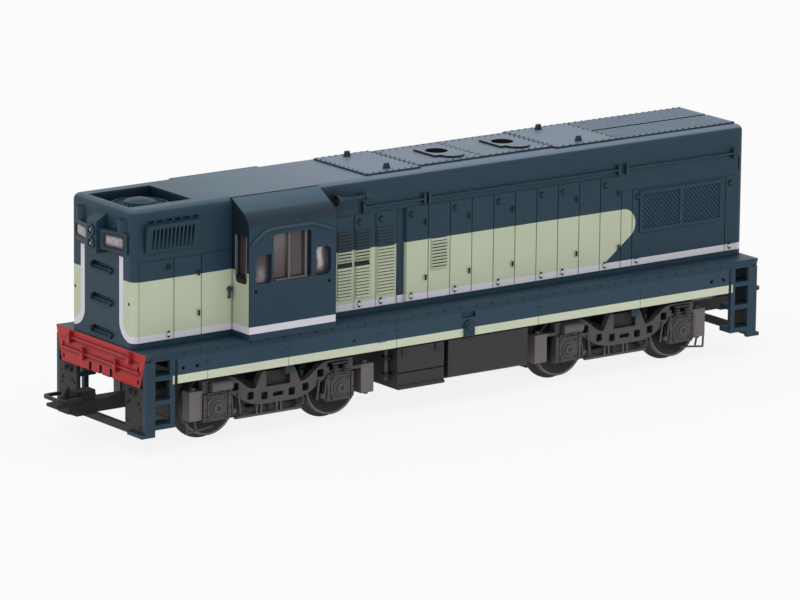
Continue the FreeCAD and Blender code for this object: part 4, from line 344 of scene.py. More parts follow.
def cabColour(finish):
    across = abs(finish.y)
    z = wavyHeight(finish, edgeWave["cabAndSill"])
    side = across.above(cabScheme["sideFace"], 0.1)
    front = finish.x.below(cabScheme["frontWall"], 0.1) * (1 - side)
    white = side.atLeast(front) * z.within(*cabScheme["white"])
    cream = front * z.within(*cabScheme["cream"])
    # painted light and shade: lit paler shoulders, painted shade below the eaves and on the front
    # wall, whose cream is also darkened, and a painted highlight on the lip over the side
    upward = finish.facing("Z")
    rounded = finish.z.above(*cabScheme["shoulder"]) * upward.above(0.3, 0.2)
    eaves = finish.z.within(*cabScheme["eavesZ"], 1.6) * across.within(*cabScheme["eavesY"], 0.2)
    paintedShade = (front * finish.z.above(*cabScheme["frontShade"])).atLeast(eaves * 0.8)
    shell = finish.mix(rounded, paints["blue"], paints["paintedLightCabRoof"])
    shell = finish.mix(paintedShade * cabScheme["shade"], shell, paints["paintedShadeBlue"])
    lip = across.above(cabScheme["lipFace"], 0.06) * upward.above(0.1, 0.3)
    shell = finish.mix(lip * cabScheme["lip"], shell, paints["paintedLightBlue"])
    colour = finish.mix(cream, shell, finish.tint(paints["cream"], cabScheme["creamShade"]))
    return finish.mix(white, colour, paints["white"])


cabRoofScheme = {"fade": (-36.0, 26.0), "lineFace": 9.72}


def cabRoofColour(finish):
    # painted light from above, paler towards the rear, with a dark line along both edges
    fade = finish.x.above(*cabRoofScheme["fade"])
    panel = finish.mix(fade, paints["paintedLightCabRoof"], paints["paintedLightRearRoof"])
    return finish.mix(abs(finish.y).above(cabRoofScheme["lineFace"], 0.06), panel, paints["gap"])


sillScheme = {
    "creamTop": 14.8, "end": 65.05, "joints": (-58.4, -40.2, -15.4, 18.2, 43.0),
    "jointHalf": 0.08, "jointBolts": 16.6, "boltApart": 0.42, "boltSquare": 0.03,
    "door": (-19.8, -17.9, 14.7, 16.45), "holes": ((-25.2, 15.9), (60.9, 16.3), (63.4, 16.3)),
    "holeSquare": 0.12,
}


def sillColour(finish):
    x, z = finish.x, finish.z
    cream = wavyHeight(finish, edgeWave["cabAndSill"]).below(sillScheme["creamTop"])
    colour = finish.mix(cream, paints["sillBlue"], paints["sillCream"])

    def spot(placeX, placeZ, square, soft):
        return ((x - placeX) ** 2 + (z - placeZ) ** 2).below(square, soft)

    # joints of the sill with a bolt on either side, a small door's rim, and holes painted dark for
    # the shade inside them
    line = abs(x).above(sillScheme["end"], 0.05)
    for place in sillScheme["joints"]:
        line = line.atLeast(abs(x - place).below(sillScheme["jointHalf"], 0.06) * 0.6)
        for side in (-sillScheme["boltApart"], sillScheme["boltApart"]):
            bolt = spot(place + side, sillScheme["jointBolts"], sillScheme["boltSquare"], 0.03)
            line = line.atLeast(bolt)
    left, right, low, high = sillScheme["door"]
    offX = abs(x - (left + right) / 2) - (right - left) / 2
    offZ = abs(z - (low + high) / 2) - (high - low) / 2
    line = line.atLeast(abs(offX.atLeast(offZ)).below(0.07, 0.06) * 0.7)
    for place in sillScheme["holes"]:
        line = line.atLeast(spot(*place, sillScheme["holeSquare"], 0.06))
    return finish.mix(line, colour, paints["gap"])


stepScheme = {"stripeEnd": 66.15, "stripeZ": (13.2, 14.8), "stripeFace": 14.8}


def stepColour(finish):
    # the cream stripe of the sill ends on the inner post
    stripe = abs(finish.x).below(stepScheme["stripeEnd"]) * finish.z.within(*stepScheme["stripeZ"])
    stripe = stripe * abs(finish.y).above(stepScheme["stripeFace"])
    return finish.mix(stripe, paints["stepBlue"], paints["cream"])


beamScheme = {
    "plate": 72.1, "fittings": 72.25, "ledgeFace": 72.4, "ledgeHalf": 13.2,
    "underLedges": ((17.15, 17.8), (14.85, 15.5)), "shade": 0.55,
}


def beamColour(finish):
    # red on the end face only, blue round the plate's edge, painted shade below both ledges
    reach = abs(finish.x)
    facing = abs(finish.facing("X")).above(0.3, 0.2)
    red = reach.above(beamScheme["plate"]) * facing.atLeast(reach.above(beamScheme["fittings"]))
    upper, lower = beamScheme["underLedges"]
    shade = finish.z.within(*upper, 0.3).atLeast(finish.z.within(*lower, 0.3))
    shade = shade * abs(finish.y).below(beamScheme["ledgeHalf"], 0.4)
    shade = shade * reach.below(beamScheme["ledgeFace"]) * beamScheme["shade"]
    face = finish.mix(shade, paints["red"], paints["shadedRed"])
    return finish.mix(red, paints["stepBlue"], face)


boardScheme = {"middle": (5.5, 39.1), "half": (2.35, 0.95), "corner": 0.5, "depth": 0.85}


def housingColour(finish):
    # dark surround of the number boards, with rounded corners
    middleY, middleZ = boardScheme["middle"]
    halfY, halfZ = boardScheme["half"]
    overY = (abs(abs(finish.y) - middleY) - halfY).atLeast(0.0)
    overZ = (abs(finish.z - middleZ) - halfZ).atLeast(0.0)
    surround = ((overY * overY + overZ * overZ) ** 0.5).below(boardScheme["corner"], 0.08)
    return finish.mix(surround * boardScheme["depth"], paints["blue"], paints["gap"])


smallScheme = {"hornLine": (-27.36, -27.0), "brakeTop": 9.7, "brakeFace": 12.0}


def hornColour(finish):
    # the horn's mouth is painted dark, a painted shade inside the bell
    line = finish.x.within(*smallScheme["hornLine"])
    return finish.mix(line, paints["blue"], paints["gap"])


def brakeColour(finish):
    barrel = finish.z.above(smallScheme["brakeTop"])
    barrel = barrel * abs(finish.y).above(smallScheme["brakeFace"])
    return finish.mix(barrel, paints["darkGrey"], paints["lightGrey"])


wheelScheme = {"bogie": 41.0, "axle": 14.0, "height": 6.75, "line": (5.45, 5.75), "face": 9.75}


def wheelColour(finish):
    # nearly black discs with a thin painted highlight round the tyre
    offX = abs(abs(abs(finish.x) - wheelScheme["bogie"]) - wheelScheme["axle"])
    radius = (offX ** 2 + (finish.z - wheelScheme["height"]) ** 2) ** 0.5
    line = radius.within(*wheelScheme["line"], 0.08)
    line = line * abs(finish.y).above(wheelScheme["face"], 0.1)
    tyre = radius.above(wheelScheme["line"][1])
    colour = finish.mix(tyre, paints["wheelDisc"], paints["wheelTyre"])
    return finish.mix(line, colour, paints["paintedWheelHighlight"])


def paintOf(name, colour, rough=0.5, feel=paintFeel, **fixed):
    finish = Finish(name)
    picked = colour(finish) if callable(colour) else colour
    return finish.moulded(picked, rough, feel, **{"Specular IOR Level": 0.3, **fixed})


paintOf("hoodPaint", hoodColour, 0.5, hoodFeel)
paintOf("roofPaint", roofColour)
paintOf("stackPaint", stackColour)
paintOf("cabPaint", cabColour)
paintOf("cabRoofPaint", cabRoofColour)
paintOf("sillPaint", sillColour)
stepPaint = paintOf("stepPaint", stepColour)
paintOf("beamPaint", beamColour, 0.48, beamFeel)
paintOf("hornPaint", hornColour)
paintOf("housingPaint", housingColour)
paintOf("bluePaint", paints["blue"])
bogiePlastic = paintOf("bogiePlastic", paints["darkGrey"], 0.62, plasticFeel)
paintOf("brakePlastic", brakeColour, 0.58, plasticFeel)
paintOf("sandPlastic", paints["sandGrey"], 0.6, sandFeel)
paintOf("tankPlastic", paints["tankGrey"], 0.58, plasticFeel)
paintOf("pilotPlastic", paints["pilotGrey"], 0.62, plasticFeel)
blackPlastic = paintOf("blackPlastic", paints["black"], 0.5, plasticFeel)
paintOf("castMetal", paints["tankGrey"], 0.55, plasticFeel, Metallic=0.3)
silverFrame = paintOf("silverFrame", paints["silver"], 0.38, frameFeel)
paintOf("wheelMetal", wheelColour, 0.5, plasticFeel)
rivetAndShadePaint = paintOf("rivetAndShadePaint", paints["rivet"])
boltPaint = paintOf("boltPaint", paints["bolt"])
paintedLightTreadPaint = paintOf("paintedLightTreadPaint", paints["tread"])
seatFabric = paintOf("seatFabric", paints["seat"], 0.8, fabricFeel)


glassFeel = {
    "streak": 0.35, "dark": 0.75, "streakDepth": 0.3, "rimReach": 0.9, "rimDepth": 0.25,
    "roughDepth": 0.08, "ripple": 0.5, "bump": 0.15, "bumpDepth": 0.05,
    "gleam": srgb(196, 194, 198),
}
paneShine = {"rear": (-34.0, -32.9), "front": (-47.6, -45.9), "main": (-44.5, -40.6)}
boardShine = {"y": (3.5, 7.5), "z": (38.4, 39.9)}
lampShine = {"y": 0.25, "z": 39.3, "apart": 1.35}


def cabGleam(finish):
    # pale reflections on the small panes and on the front sliding pane
    soft = finish.noise(0.5, 3.0)
    x, z = finish.x + 1.2 * (soft - 0.5), finish.z
    rear = x.within(*paneShine["rear"], 0.5) * z.above(31.0, 1.0)
    front = x.within(*paneShine["front"], 0.9) * z.below(32.6, 1.6)
    main = x.within(*paneShine["main"], 0.8) * z.above(34.5, 6.0)
    return (rear * 0.95).atLeast(front * 0.4).atLeast(main * 0.2) * (0.6 + 0.8 * soft)


def boardGleam(finish):
    # dark rim, clouded pale middle
    soft = finish.noise(0.9, 3.0)
    middle = abs(finish.y).within(*boardShine["y"], 0.5)
    middle = middle * finish.z.within(*boardShine["z"], 0.4)
    return middle * (0.35 + 1.1 * (soft - 0.3))


def lampGleam(finish):
    # one glint on each lamp
    glint = abs(finish.y - lampShine["y"]).below(0.2, 0.15)
    rows = abs(abs(finish.z - lampShine["z"]) - lampShine["apart"]).below(0.22, 0.15)
    return glint * rows


def windowGlass(name, colour, clear, rough, gleamOf):
    # streaky, with painted shade at its rim, slightly rippled, and opaque where a painted
    # reflection or glint lies
    finish = Finish(name)
    streak = finish.noise(glassFeel["streak"], 3.0)
    rim = glassFeel["rimDepth"] * (finish.crevices(glassFeel["rimReach"]) - 0.7)
    shade = glassFeel["dark"] + glassFeel["streakDepth"] * streak + rim
    alpha = 1 - clear * (0.75 + 0.4 * (streak - 0.5))
    sockets = {"Strength": glassFeel["bump"], "Distance": glassFeel["bumpDepth"] * mm}
    sockets["Height"] = finish.noise(glassFeel["ripple"])
    ripple = finish.node("ShaderNodeBump", {}, sockets)
    roughness = rough + glassFeel["roughDepth"] * (streak - 0.5)
    gleam = gleamOf(finish)
    base = finish.mix(gleam, finish.tint(colour, shade), glassFeel["gleam"])
    return finish.surface(base, roughness, Alpha=alpha.atLeast(gleam), Normal=ripple)


windowGlass("cabGlass", srgb(86, 74, 76), 0.3, 0.14, cabGleam)
windowGlass("boardGlass", srgb(84, 74, 78), 0.1, 0.14, boardGleam)
lampGlass = windowGlass("lampGlass", srgb(52, 56, 58), 0.25, 0.05, lampGleam)

nodeFinish = {
    "hoodPaint": "short_hood long_hood hood_doors louvred_doors radiator_side_grilles",
    "roofPaint": "roof_hatches radiator_roof_grilles",
    "stackPaint": "exhaust_stacks",
    "bluePaint": "walkway_deck nose_louvres roof_fan hood_handrails fuel_fillers",
    "housingPaint": "lamp_housing",
    "hornPaint": "horn",
    "cabRoofPaint": "cab_roof_panel",
    "cabPaint": "cab",
    "sillPaint": "side_sills",
    "stepPaint": "front_right_steps front_left_steps rear_right_steps rear_left_steps",
    "beamPaint": "front_beam rear_beam",
    "pilotPlastic": "front_pilot rear_pilot",
    "bogiePlastic": "front_bogie_side_frames rear_bogie_side_frames front_bogie_axleboxes "
                    "rear_bogie_axleboxes drain_pipes",
    "sandPlastic": "front_bogie_sand_boxes rear_bogie_sand_boxes",
    "brakePlastic": "front_bogie_brake_gear rear_bogie_brake_gear",
    "tankPlastic": "fuel_tank battery_box bogie_bolsters cab_floor",
    "blackPlastic": "front_coupler_arm front_coupler_loop rear_coupler_arm rear_coupler_loop",
    "castMetal": "motor_and_weight front_bogie_gearbox_frame rear_bogie_gearbox_frame",
    "wheelMetal": "front_wheelset_a front_wheelset_b rear_wheelset_a rear_wheelset_b",
    "silverFrame": "cab_window_frames",
    "cabGlass": "cab_side_glass cab_end_glass",
    "boardGlass": "number_boards_glass",
    "lampGlass": "headlamp_lenses",
}
for finishName, members in nodeFinish.items():
    for nodeName in members.split():
        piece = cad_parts[nodeName]
        piece.data.materials.clear()
        piece.data.materials.append(bpy.data.materials[finishName])
print("paint:", len(bpy.data.materials), "finishes")


# the fittings' sizes and places are in mm until finishPiece
up, toSide = (0, 0, 1), (0, -1, 0)  # studs are made on the seen side and mirrored


def addBox(bm, corner, opposite, bevel):
    low, high = zip(*(sorted(pair) for pair in zip(corner, opposite)))
    size = Vector(high) - Vector(low)
    centre = (Vector(low) + Vector(high)) / 2
    place = Matrix.Translation(centre) @ Matrix.Diagonal((*size, 1.0))
    made = bmesh.ops.create_cube(bm, size=1.0, matrix=place)
    rims = list({edge for vert in made["verts"] for edge in vert.link_edges})
    bmesh.ops.bevel(bm, geom=rims, offset=bevel, affect="EDGES", segments=1, profile=0.5,
                    material=-1)


def addStud(bm, place, axis, radius, height, sides=8, top=0.7):
    turn = Vector(axis).to_track_quat("Z", "Y").to_matrix().to_4x4()
    spot = Matrix.Translation(Vector(place) + Vector(axis).normalized() * height / 2) @ turn
    bmesh.ops.create_cone(bm, cap_ends=True, segments=sides, radius1=radius, radius2=radius * top,
                          depth=height, matrix=spot)


def addBar(bm, start, end, radius, sides=8):
    line = Vector(end) - Vector(start)
    addStud(bm, start, line, radius, line.length, sides, 1.0)


def bothSides(bm):
    everything = bm.verts[:] + bm.edges[:] + bm.faces[:]
    bmesh.ops.mirror(bm, geom=everything, axis="Y", merge_dist=0.0)


def finishPiece(bm, name, finish, body):
    bmesh.ops.recalc_face_normals(bm, faces=bm.faces[:])
    bmesh.ops.scale(bm, vec=(mm, mm, mm), verts=bm.verts[:])
    mesh = bpy.data.meshes.new(name)
    bm.to_mesh(mesh)
    bm.free()
    made = bpy.data.objects.new(name, mesh)
    bpy.context.scene.collection.objects.link(made)
    mesh.materials.append(finish)
    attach(made, body)


rivets = {
    "start": -63.6, "pitch": 3.72, "count": 35, "face": 14.85, "height": 18.8,
    "radius": 0.21, "rise": 0.2,
}


def makeRivets():
    bm = bmesh.new()
    for i in range(rivets["count"]):
        place = (rivets["start"] + i * rivets["pitch"], -rivets["face"], rivets["height"])
        addStud(bm, place, toSide, rivets["radius"], rivets["rise"], 6)
    bothSides(bm)
    finishPiece(bm, "deck_rivets", rivetAndShadePaint, "hull")


knuckles = {
    "foot": 21.6, "half": (0.2, 0.16), "spacing": 0.46, "face": (10.5, 10.78), "bevel": 0.06,
    "tops": (
        (-64.2, 34.3), (45.25, 34.2), (68.45, 34.2), (-21.05, 37.4), (-16.1, 37.4), (-9.0, 37.4),
        (1.3, 37.4), (11.6, 37.4), (21.9, 37.4), (27.05, 37.4), (37.35, 37.4),
    ),
}


def makeKnuckles():
    # two dark eyes, one over the other, at the foot and near the top of the hinged doors; their
    # dark is painted shade in the hinges' gaps
    bm = bmesh.new()
    back, front = knuckles["face"]
    wide, tall = knuckles["half"]
    for x, top in knuckles["tops"]:
        for height in (knuckles["foot"], top):
            for z in (height - knuckles["spacing"], height + knuckles["spacing"]):
                low, high = (x - wide, -front, z - tall), (x + wide, -back, z + tall)
                addBox(bm, low, high, knuckles["bevel"])
    bothSides(bm)
    finishPiece(bm, "door_hinge_shade_knuckles", rivetAndShadePaint, "hull")


# plates: front edge, rear edge and half width; rearRow adds its own height
roofBolts = {
    "pitch": 1.55, "radius": 0.2, "rise": 0.17, "top": 45.82,
    "plates": ((-17.8, -5.9, 8.2), (-4.8, 9.7, 7.0), (10.4, 26.0, 7.0), (27.1, 41.5, 8.2)),
    "rearRow": (42.8, 70.3, 8.35, 45.77),
}


def makeRoofBolts():
    bm = bmesh.new()
    pitch = roofBolts["pitch"]

    def row(start, end, z):
        gap = Vector(end) - Vector(start)
        steps = max(1, round(gap.length / pitch))
        for i in range(steps + 1):
            x, y = Vector(start) + gap * i / steps
            addStud(bm, (x, y, z), up, roofBolts["radius"], roofBolts["rise"], 6)

    for front, rear, half in roofBolts["plates"]:
        for y in (-half, half):
            row((front, y), (rear, y), roofBolts["top"])
        for x in (front, rear):
            row((x, pitch - half), (x, half - pitch), roofBolts["top"])
    front, rear, half, z = roofBolts["rearRow"]
    for y in (-half, half):
        row((front, y), (rear, y), z)
    finishPiece(bm, "roof_bolts", boltPaint, "hull")


tread = {
    "x": (42.9, 70.1), "y": (0.85, 7.75), "pitch": 0.86, "top": 45.78,
    "size": 0.36, "rise": 0.09, "taper": 0.35,
}


def makeTread():
    # staggered lozenges on the two rear roof plates, in a pale blue that is painted light from
    # above
    bm = bmesh.new()
    (front, rear), (near, far), pitch = tread["x"], tread["y"], tread["pitch"]
    columns, rows = int((rear - front) / pitch), int((far - near) / pitch)
    for i in range(columns + 1):
        for j in range(rows + 1):
            y = near + (j + 0.5 * (i % 2)) * pitch
            place = (front + i * pitch, -y, tread["top"])
            addStud(bm, place, up, tread["size"], tread["rise"], 4, tread["taper"])
    bothSides(bm)
    finishPiece(bm, "roof_tread_pattern", paintedLightTreadPaint, "hull")


# each ledge: lowest, highest, how far out and in of the face, bevel
boxFittings = {
    "reach": 14.0, "face": 13.1, "boltX": 1.78, "boltZ": (5.25, 8.45), "boltRadius": 0.27,
    "boltRise": 0.24, "springX": 1.15, "springY": 12.9, "springZ": 9.55, "springRadius": 0.62,
    "coils": 4, "coilPitch": 0.44, "coilHeight": 0.26, "ledgeHalf": 1.9,
    "ledges": ((8.95, 9.35, 0.3, 0.1, 0.1), (4.55, 4.95, 0.12, 0.4, 0.08),
               (11.35, 11.7, 0.1, 0.6, 0.1)),
    "strapX": (2.35, 3.05), "strapY": (12.6, 13.2), "strapZ": (4.7, 9.6), "strapBevel": 0.12,
    "strapBolts": (5.4, 6.7, 8.9), "strapBolt": 0.2,
}


def makeBoxFittings(body, centre):
    # bolts, springs, straps and ledges of each axlebox
    bm = bmesh.new()
    size = boxFittings
    face, half, bolt = size["face"], size["ledgeHalf"], size["strapBolt"]
    (near, far), (back, front), (foot, top) = size["strapX"], size["strapY"], size["strapZ"]
    for x in (centre - size["reach"], centre + size["reach"]):
        for side in (-1, 1):
            for z in size["boltZ"]:
                place = (x + side * size["boltX"], -face, z)
                addStud(bm, place, toSide, size["boltRadius"], size["boltRise"], 6)
            for i in range(size["coils"]):
                z = size["springZ"] + i * size["coilPitch"]
                place = (x + side * size["springX"], -size["springY"], z)
                addStud(bm, place, up, size["springRadius"], size["coilHeight"], 12, 0.9)
            corner, opposite = (x + side * near, -front, foot), (x + side * far, -back, top)
            addBox(bm, corner, opposite, size["strapBevel"])
            for z in size["strapBolts"]:
                addStud(bm, (x + side * (near + far) / 2, -front, z), toSide, bolt, bolt, 6)
        for low, high, out, inward, bevel in size["ledges"]:
            addBox(bm, (x - half, -face - out, low), (x + half, -face + inward, high), bevel)
    bothSides(bm)
    finishPiece(bm, body + "_axlebox_fittings", bogiePlastic, body)


# each place: distance from the bogie's middle, distance from the centre line, height
rigging = {
    "boxes": (
        ((7.15, 8.5, 4.3), (7.95, 10.1, 8.7), 0.2),  # brake shoe
        ((6.3, 10.0, 5.9), (7.4, 10.9, 7.1), 0.15),  # its block
    ),
    "bars": (
        ((6.85, 10.45, 10.6), (7.15, 10.45, 4.0), 0.36),  # hanger
        ((6.85, 10.5, 4.3), (2.6, 11.9, 3.9), 0.24),  # pull rod
        ((9.2, 12.9, 8.9), (8.7, 12.9, 5.0), 0.22),  # two levers
        ((10.9, 12.9, 8.9), (10.4, 12.9, 5.0), 0.22),
    ),
    "pin": ((10.0, 12.6, 5.6), 0.55, 0.5),
    "sandPipes": (
        ((18.55, 12.1, 4.9), (18.15, 12.1, 2.95), 0.2),
        ((20.05, 12.1, 2.5), (14.35, 12.1, 3.2), 0.2),
        ((20.05, 12.1, 2.4), (20.15, 12.1, 4.7), 0.2),
    ),
    "outletX": (18.55, 20.45), "outlet": (12.1, 4.5), "outletSize": (0.5, 0.4),
    "keeper": (18.4, 5.3, 1.9, 3.65), "ribs": 6, "rib": (0.5, 2.1, 4.15),
    "pivot": (22.0, 10.05), "pivotSize": (1.1, 0.35),
}


def makeRigging(body, centre, outward):
    # brake shoes with their rods, sand pipes, the keeper plate below the gears, coupler pivot
    bm = bmesh.new()

    def at(side, place):
        return (centre + side * place[0], -place[1], place[2])

    for side in (-1, 1):
        for corner, opposite, bevel in rigging["boxes"]:
            addBox(bm, at(side, corner), at(side, opposite), bevel)
        for start, end, radius in rigging["bars"]:
            addBar(bm, at(side, start), at(side, end), radius)
        place, radius, height = rigging["pin"]
        addStud(bm, at(side, place), toSide, radius, height, 10, 0.8)
    for start, end, radius in rigging["sandPipes"]:
        addBar(bm, at(outward, start), at(outward, end), radius)
    for side, x in zip((outward, -outward), rigging["outletX"]):
        addStud(bm, at(side, (x, *rigging["outlet"])), up, *rigging["outletSize"], 10, 0.9)
    bothSides(bm)
    half, width, low, high = rigging["keeper"]
    addBox(bm, (centre - half, -width, low), (centre + half, width, high), 0.3)
    ribHalf, ribLow, ribHigh = rigging["rib"]
    width = width + ribHalf
    for i in range(rigging["ribs"]):
        x = centre - half + (i + 0.5) * 2 * half / rigging["ribs"]
        addBox(bm, (x - ribHalf, -width, ribLow), (x + ribHalf, width, ribHigh), 0.15)
    pivotX, pivotZ = rigging["pivot"]
    place = (centre + outward * pivotX, 0.0, pivotZ)
    addStud(bm, place, up, *rigging["pivotSize"], 16, 0.85)
    finishPiece(bm, body + "_rigging", bogiePlastic, body)


underSill = {
    "x": (0.9, 2.8), "face": (13.3, 13.78), "z": (11.3, 13.4), "bevel": 0.15,
    "stud": (1.85, 13.73, 12.3), "studSize": (0.4, 0.2),
}


def makeUnderSill():
    # blue boxes below the sill over each bogie's middle
    bm = bmesh.new()
    (near, far), (back, front), (low, high) = underSill["x"], underSill["face"], underSill["z"]
    x, y, z = underSill["stud"]
    for centre in (-41.0, 41.0):
        corner, opposite = (centre + near, -front, low), (centre + far, -back, high)
        addBox(bm, corner, opposite, underSill["bevel"])
        addStud(bm, (centre + x, -y, z), toSide, *underSill["studSize"], 8)
    bothSides(bm)
    finishPiece(bm, "sill_boxes", stepPaint, "hull")


plugs = {
    "face": 72.2, "y": (10.0, 11.5), "z": 11.9, "plug": (0.55, 0.5), "tip": (0.3, 0.25),
    "tipFace": 72.65, "ledgeY": (9.3, 12.2), "ledgeZ": (12.35, 12.7), "ledgeHalf": 0.2,
    "bolts": ((9.0, 9.4), (13.2, 8.9), (13.2, 5.6), (9.0, 6.2)), "bolt": (0.27, 0.18),
}


def makePilotFittings():
    # two plugs below the beam, a ledge over them, and four bolts on each pilot plate
    bm = bmesh.new()
    (near, far), (low, high), half = plugs["ledgeY"], plugs["ledgeZ"], plugs["ledgeHalf"]
    for end in (-1, 1):
        face, outward = end * plugs["face"], (end, 0, 0)
        for y in plugs["y"]:
            addStud(bm, (face, -y, plugs["z"]), outward, *plugs["plug"], 12, 0.85)
            addStud(bm, (end * plugs["tipFace"], -y, plugs["z"]), outward, *plugs["tip"], 8)
        addBox(bm, (face - half, -far, low), (face + half, -near, high), 0.1)
        for y, z in plugs["bolts"]:
            addStud(bm, (face, -y, z), outward, *plugs["bolt"], 8)
    bothSides(bm)
    finishPiece(bm, "pilot_fittings", blackPlastic, "hull")


endFrames = {
    "walls": ((-50.16, -49.6), (-30.5, -30.24)), "y": (11.6, 15.3), "sillZ": (29.9, 31.1),
    "top": 38.9, "bar": 0.2, "barBevel": 0.05, "sillBevel": 0.4,
}


def makeEndFrames():
    # upright frames and thick sills of the windows in the cab's end walls
    near, far = endFrames["y"]
    (low, high), bar = endFrames["sillZ"], endFrames["bar"]
    bm = bmesh.new()
    for front, rear in endFrames["walls"]:
        for y in (near, far - bar):
            corner, opposite = (front, -y - bar, high), (rear, -y, endFrames["top"])
            addBox(bm, corner, opposite, endFrames["barBevel"])
    bothSides(bm)
    finishPiece(bm, "cab_end_window_frames", silverFrame, "hull")
    bm = bmesh.new()
    for front, rear in endFrames["walls"]:
        addBox(bm, (front, -far, low), (rear, -near, high), endFrames["sillBevel"])
    bothSides(bm)
    finishPiece(bm, "cab_end_window_sills", blackPlastic, "hull")


cabInside = {
    "x": (-46.4, -43.0), "y": (8.6, 12.2), "seatZ": (22.6, 23.8), "back": 29.0, "backDepth": 0.9,
    "floor": 20.3, "post": 0.6, "bevel": 0.3,
    "desk": ((-49.0, -4.0, 20.3), (-47.4, 7.0, 27.6)),
    "deskTop": ((-49.2, -3.0, 27.4), (-46.6, 6.0, 28.2)), "deskTopBevel": 0.2,
}


def makeCabInside():
    # a seat on either side, and a desk at the front
    bm = bmesh.new()
    (front, rear), (near, far), (low, high) = cabInside["x"], cabInside["y"], cabInside["seatZ"]
    bevel = cabInside["bevel"]
    addBox(bm, (front, -far, low), (rear, -near, high), bevel)
    backFront = rear - cabInside["backDepth"]
    addBox(bm, (backFront, -far, high), (rear, -near, cabInside["back"]), bevel)
    x, y = (front + rear) / 2, -(near + far) / 2
    addBar(bm, (x, y, cabInside["floor"]), (x, y, low), cabInside["post"], 12)
    bothSides(bm)
    addBox(bm, *cabInside["desk"], bevel)
    addBox(bm, *cabInside["deskTop"], cabInside["deskTopBevel"])
    finishPiece(bm, "cab_seats_and_desk", seatFabric, "hull")


endTreads = {
    "bolts": (21.0, 27.1, 33.2), "boltSize": (0.5, 0.5), "face": 71.9, "half": 3.3,
    "out": 0.45, "inward": 0.2, "drop": 0.75, "thick": 0.4, "bevel": 0.1,
}


def makeEndTreads():
    # treads with two bolts: below the nose's footholds, and on the rear wall
    bm = bmesh.new()
    half = endTreads["half"]
    back, front = endTreads["face"] - endTreads["inward"], endTreads["face"] + endTreads["out"]
    for z in endTreads["bolts"]:
        low = z - endTreads["drop"]
        high = low + endTreads["thick"]
        for end in (-1, 1):
            corner, opposite = (end * back, -half, low), (end * front, half, high)
            addBox(bm, corner, opposite, endTreads["bevel"])
            for y in (-half, half):
                place = (end * endTreads["face"], y, z)
                addStud(bm, place, (end, 0, 0), *endTreads["boltSize"], 10, 0.75)
    finishPiece(bm, "end_step_treads", rivetAndShadePaint, "hull")


locks = {
    "x": -50.7, "y": 10.5, "z": 28.4, "disc": (0.55, 0.5), "bar": 0.22, "barOut": 0.35,
    "barZ": (0.1, -1.3), "lean": 0.1, "tip": (0.35, 0.3), "tipOut": 0.2, "tipDrop": 1.5,
}


def makeLocks():
    # small lock between the hood and the cab wall
    bm = bmesh.new()
    x, y, z = locks["x"], -locks["y"], locks["z"]
    barY, (start, end) = y - locks["barOut"], locks["barZ"]
    addStud(bm, (x, y, z), toSide, *locks["disc"], 12, 0.85)
    addBar(bm, (x, barY, z + start), (x - locks["lean"], barY, z + end), locks["bar"])
    place = (x - locks["lean"], y - locks["tipOut"], z - locks["tipDrop"])
    addStud(bm, place, toSide, *locks["tip"], 8)
    bothSides(bm)
    finishPiece(bm, "hood_locks", stepPaint, "hull")


lampDomes = {"x": -74.18, "heights": (38.1, 40.5), "radius": 0.74, "depth": 0.26}


def makeLampDomes():
    bm = bmesh.new()
    for z in lampDomes["heights"]:
        radius = lampDomes["radius"]
        shape = Matrix.Diagonal((lampDomes["depth"], radius, radius, 1.0))
        spot = Matrix.Translation((lampDomes["x"], 0.0, z)) @ shape
        bmesh.ops.create_uvsphere(bm, u_segments=24, v_segments=12, radius=1.0, matrix=spot)
    finishPiece(bm, "headlamp_domes", lampGlass, "hull")


boxHinges = {
    "x": (-13.45, -5.65), "z": (11.75, 12.45), "apart": 0.27, "half": 0.15,
    "face": (14.62, 15.02), "bevel": 0.05,
}
pipeClamps = {"x": -16.0, "y": 12.4, "heights": (7.4, 10.6), "radius": 0.95, "height": 0.5}


def makeBoxHinges():
    # hinge eyes on the battery box, clamps round the drain pipes behind it
    bm = bmesh.new()
    (back, front), (low, high), half = boxHinges["face"], boxHinges["z"], boxHinges["half"]
    for hinge in boxHinges["x"]:
        for x in (hinge - boxHinges["apart"], hinge + boxHinges["apart"]):
            addBox(bm, (x - half, -front, low), (x + half, -back, high), boxHinges["bevel"])
    for z in pipeClamps["heights"]:
        spot = (pipeClamps["x"], -pipeClamps["y"], z)
        addStud(bm, spot, up, pipeClamps["radius"], pipeClamps["height"], 16, 1.0)
    bothSides(bm)
    finishPiece(bm, "battery_box_fittings", blackPlastic, "hull")


makeRivets()
makeKnuckles()
makeRoofBolts()
makeTread()
for bogie, middle, way in (("front_bogie", -41.0, -1), ("rear_bogie", 41.0, 1)):
    makeBoxFittings(bogie, middle)
    makeRigging(bogie, middle, way)
makeUnderSill()
makePilotFittings()
makeEndFrames()
makeCabInside()
makeEndTreads()
makeLocks()
makeLampDomes()
makeBoxHinges()
print("fittings made")


studio = {
    "floorSize": 4.0, "floorColour": (0.9, 0.9, 0.9, 1.0), "floorGlow": 0.86,
    "white": (1.0, 1.0, 1.0, 1.0), "skyLight": 0.78,
    "keyPower": 5.0, "keySize": 1.4, "keyPlace": (-0.9, -0.9, 1.5),
}


def seenDirectly(tree):
    # 1 for the camera, and for what shows in or through metal and glass
    path = tree.nodes.new("ShaderNodeLightPath")
    total = path.outputs["Is Camera Ray"]
    for other in ("Is Glossy Ray", "Is Transmission Ray"):
        adder = tree.nodes.new("ShaderNodeMath")
        adder.operation = "ADD"
        adder.use_clamp = True
        tree.links.new(total, adder.inputs[0])
        tree.links.new(path.outputs[other], adder.inputs[1])
        total = adder.outputs[0]
    return total


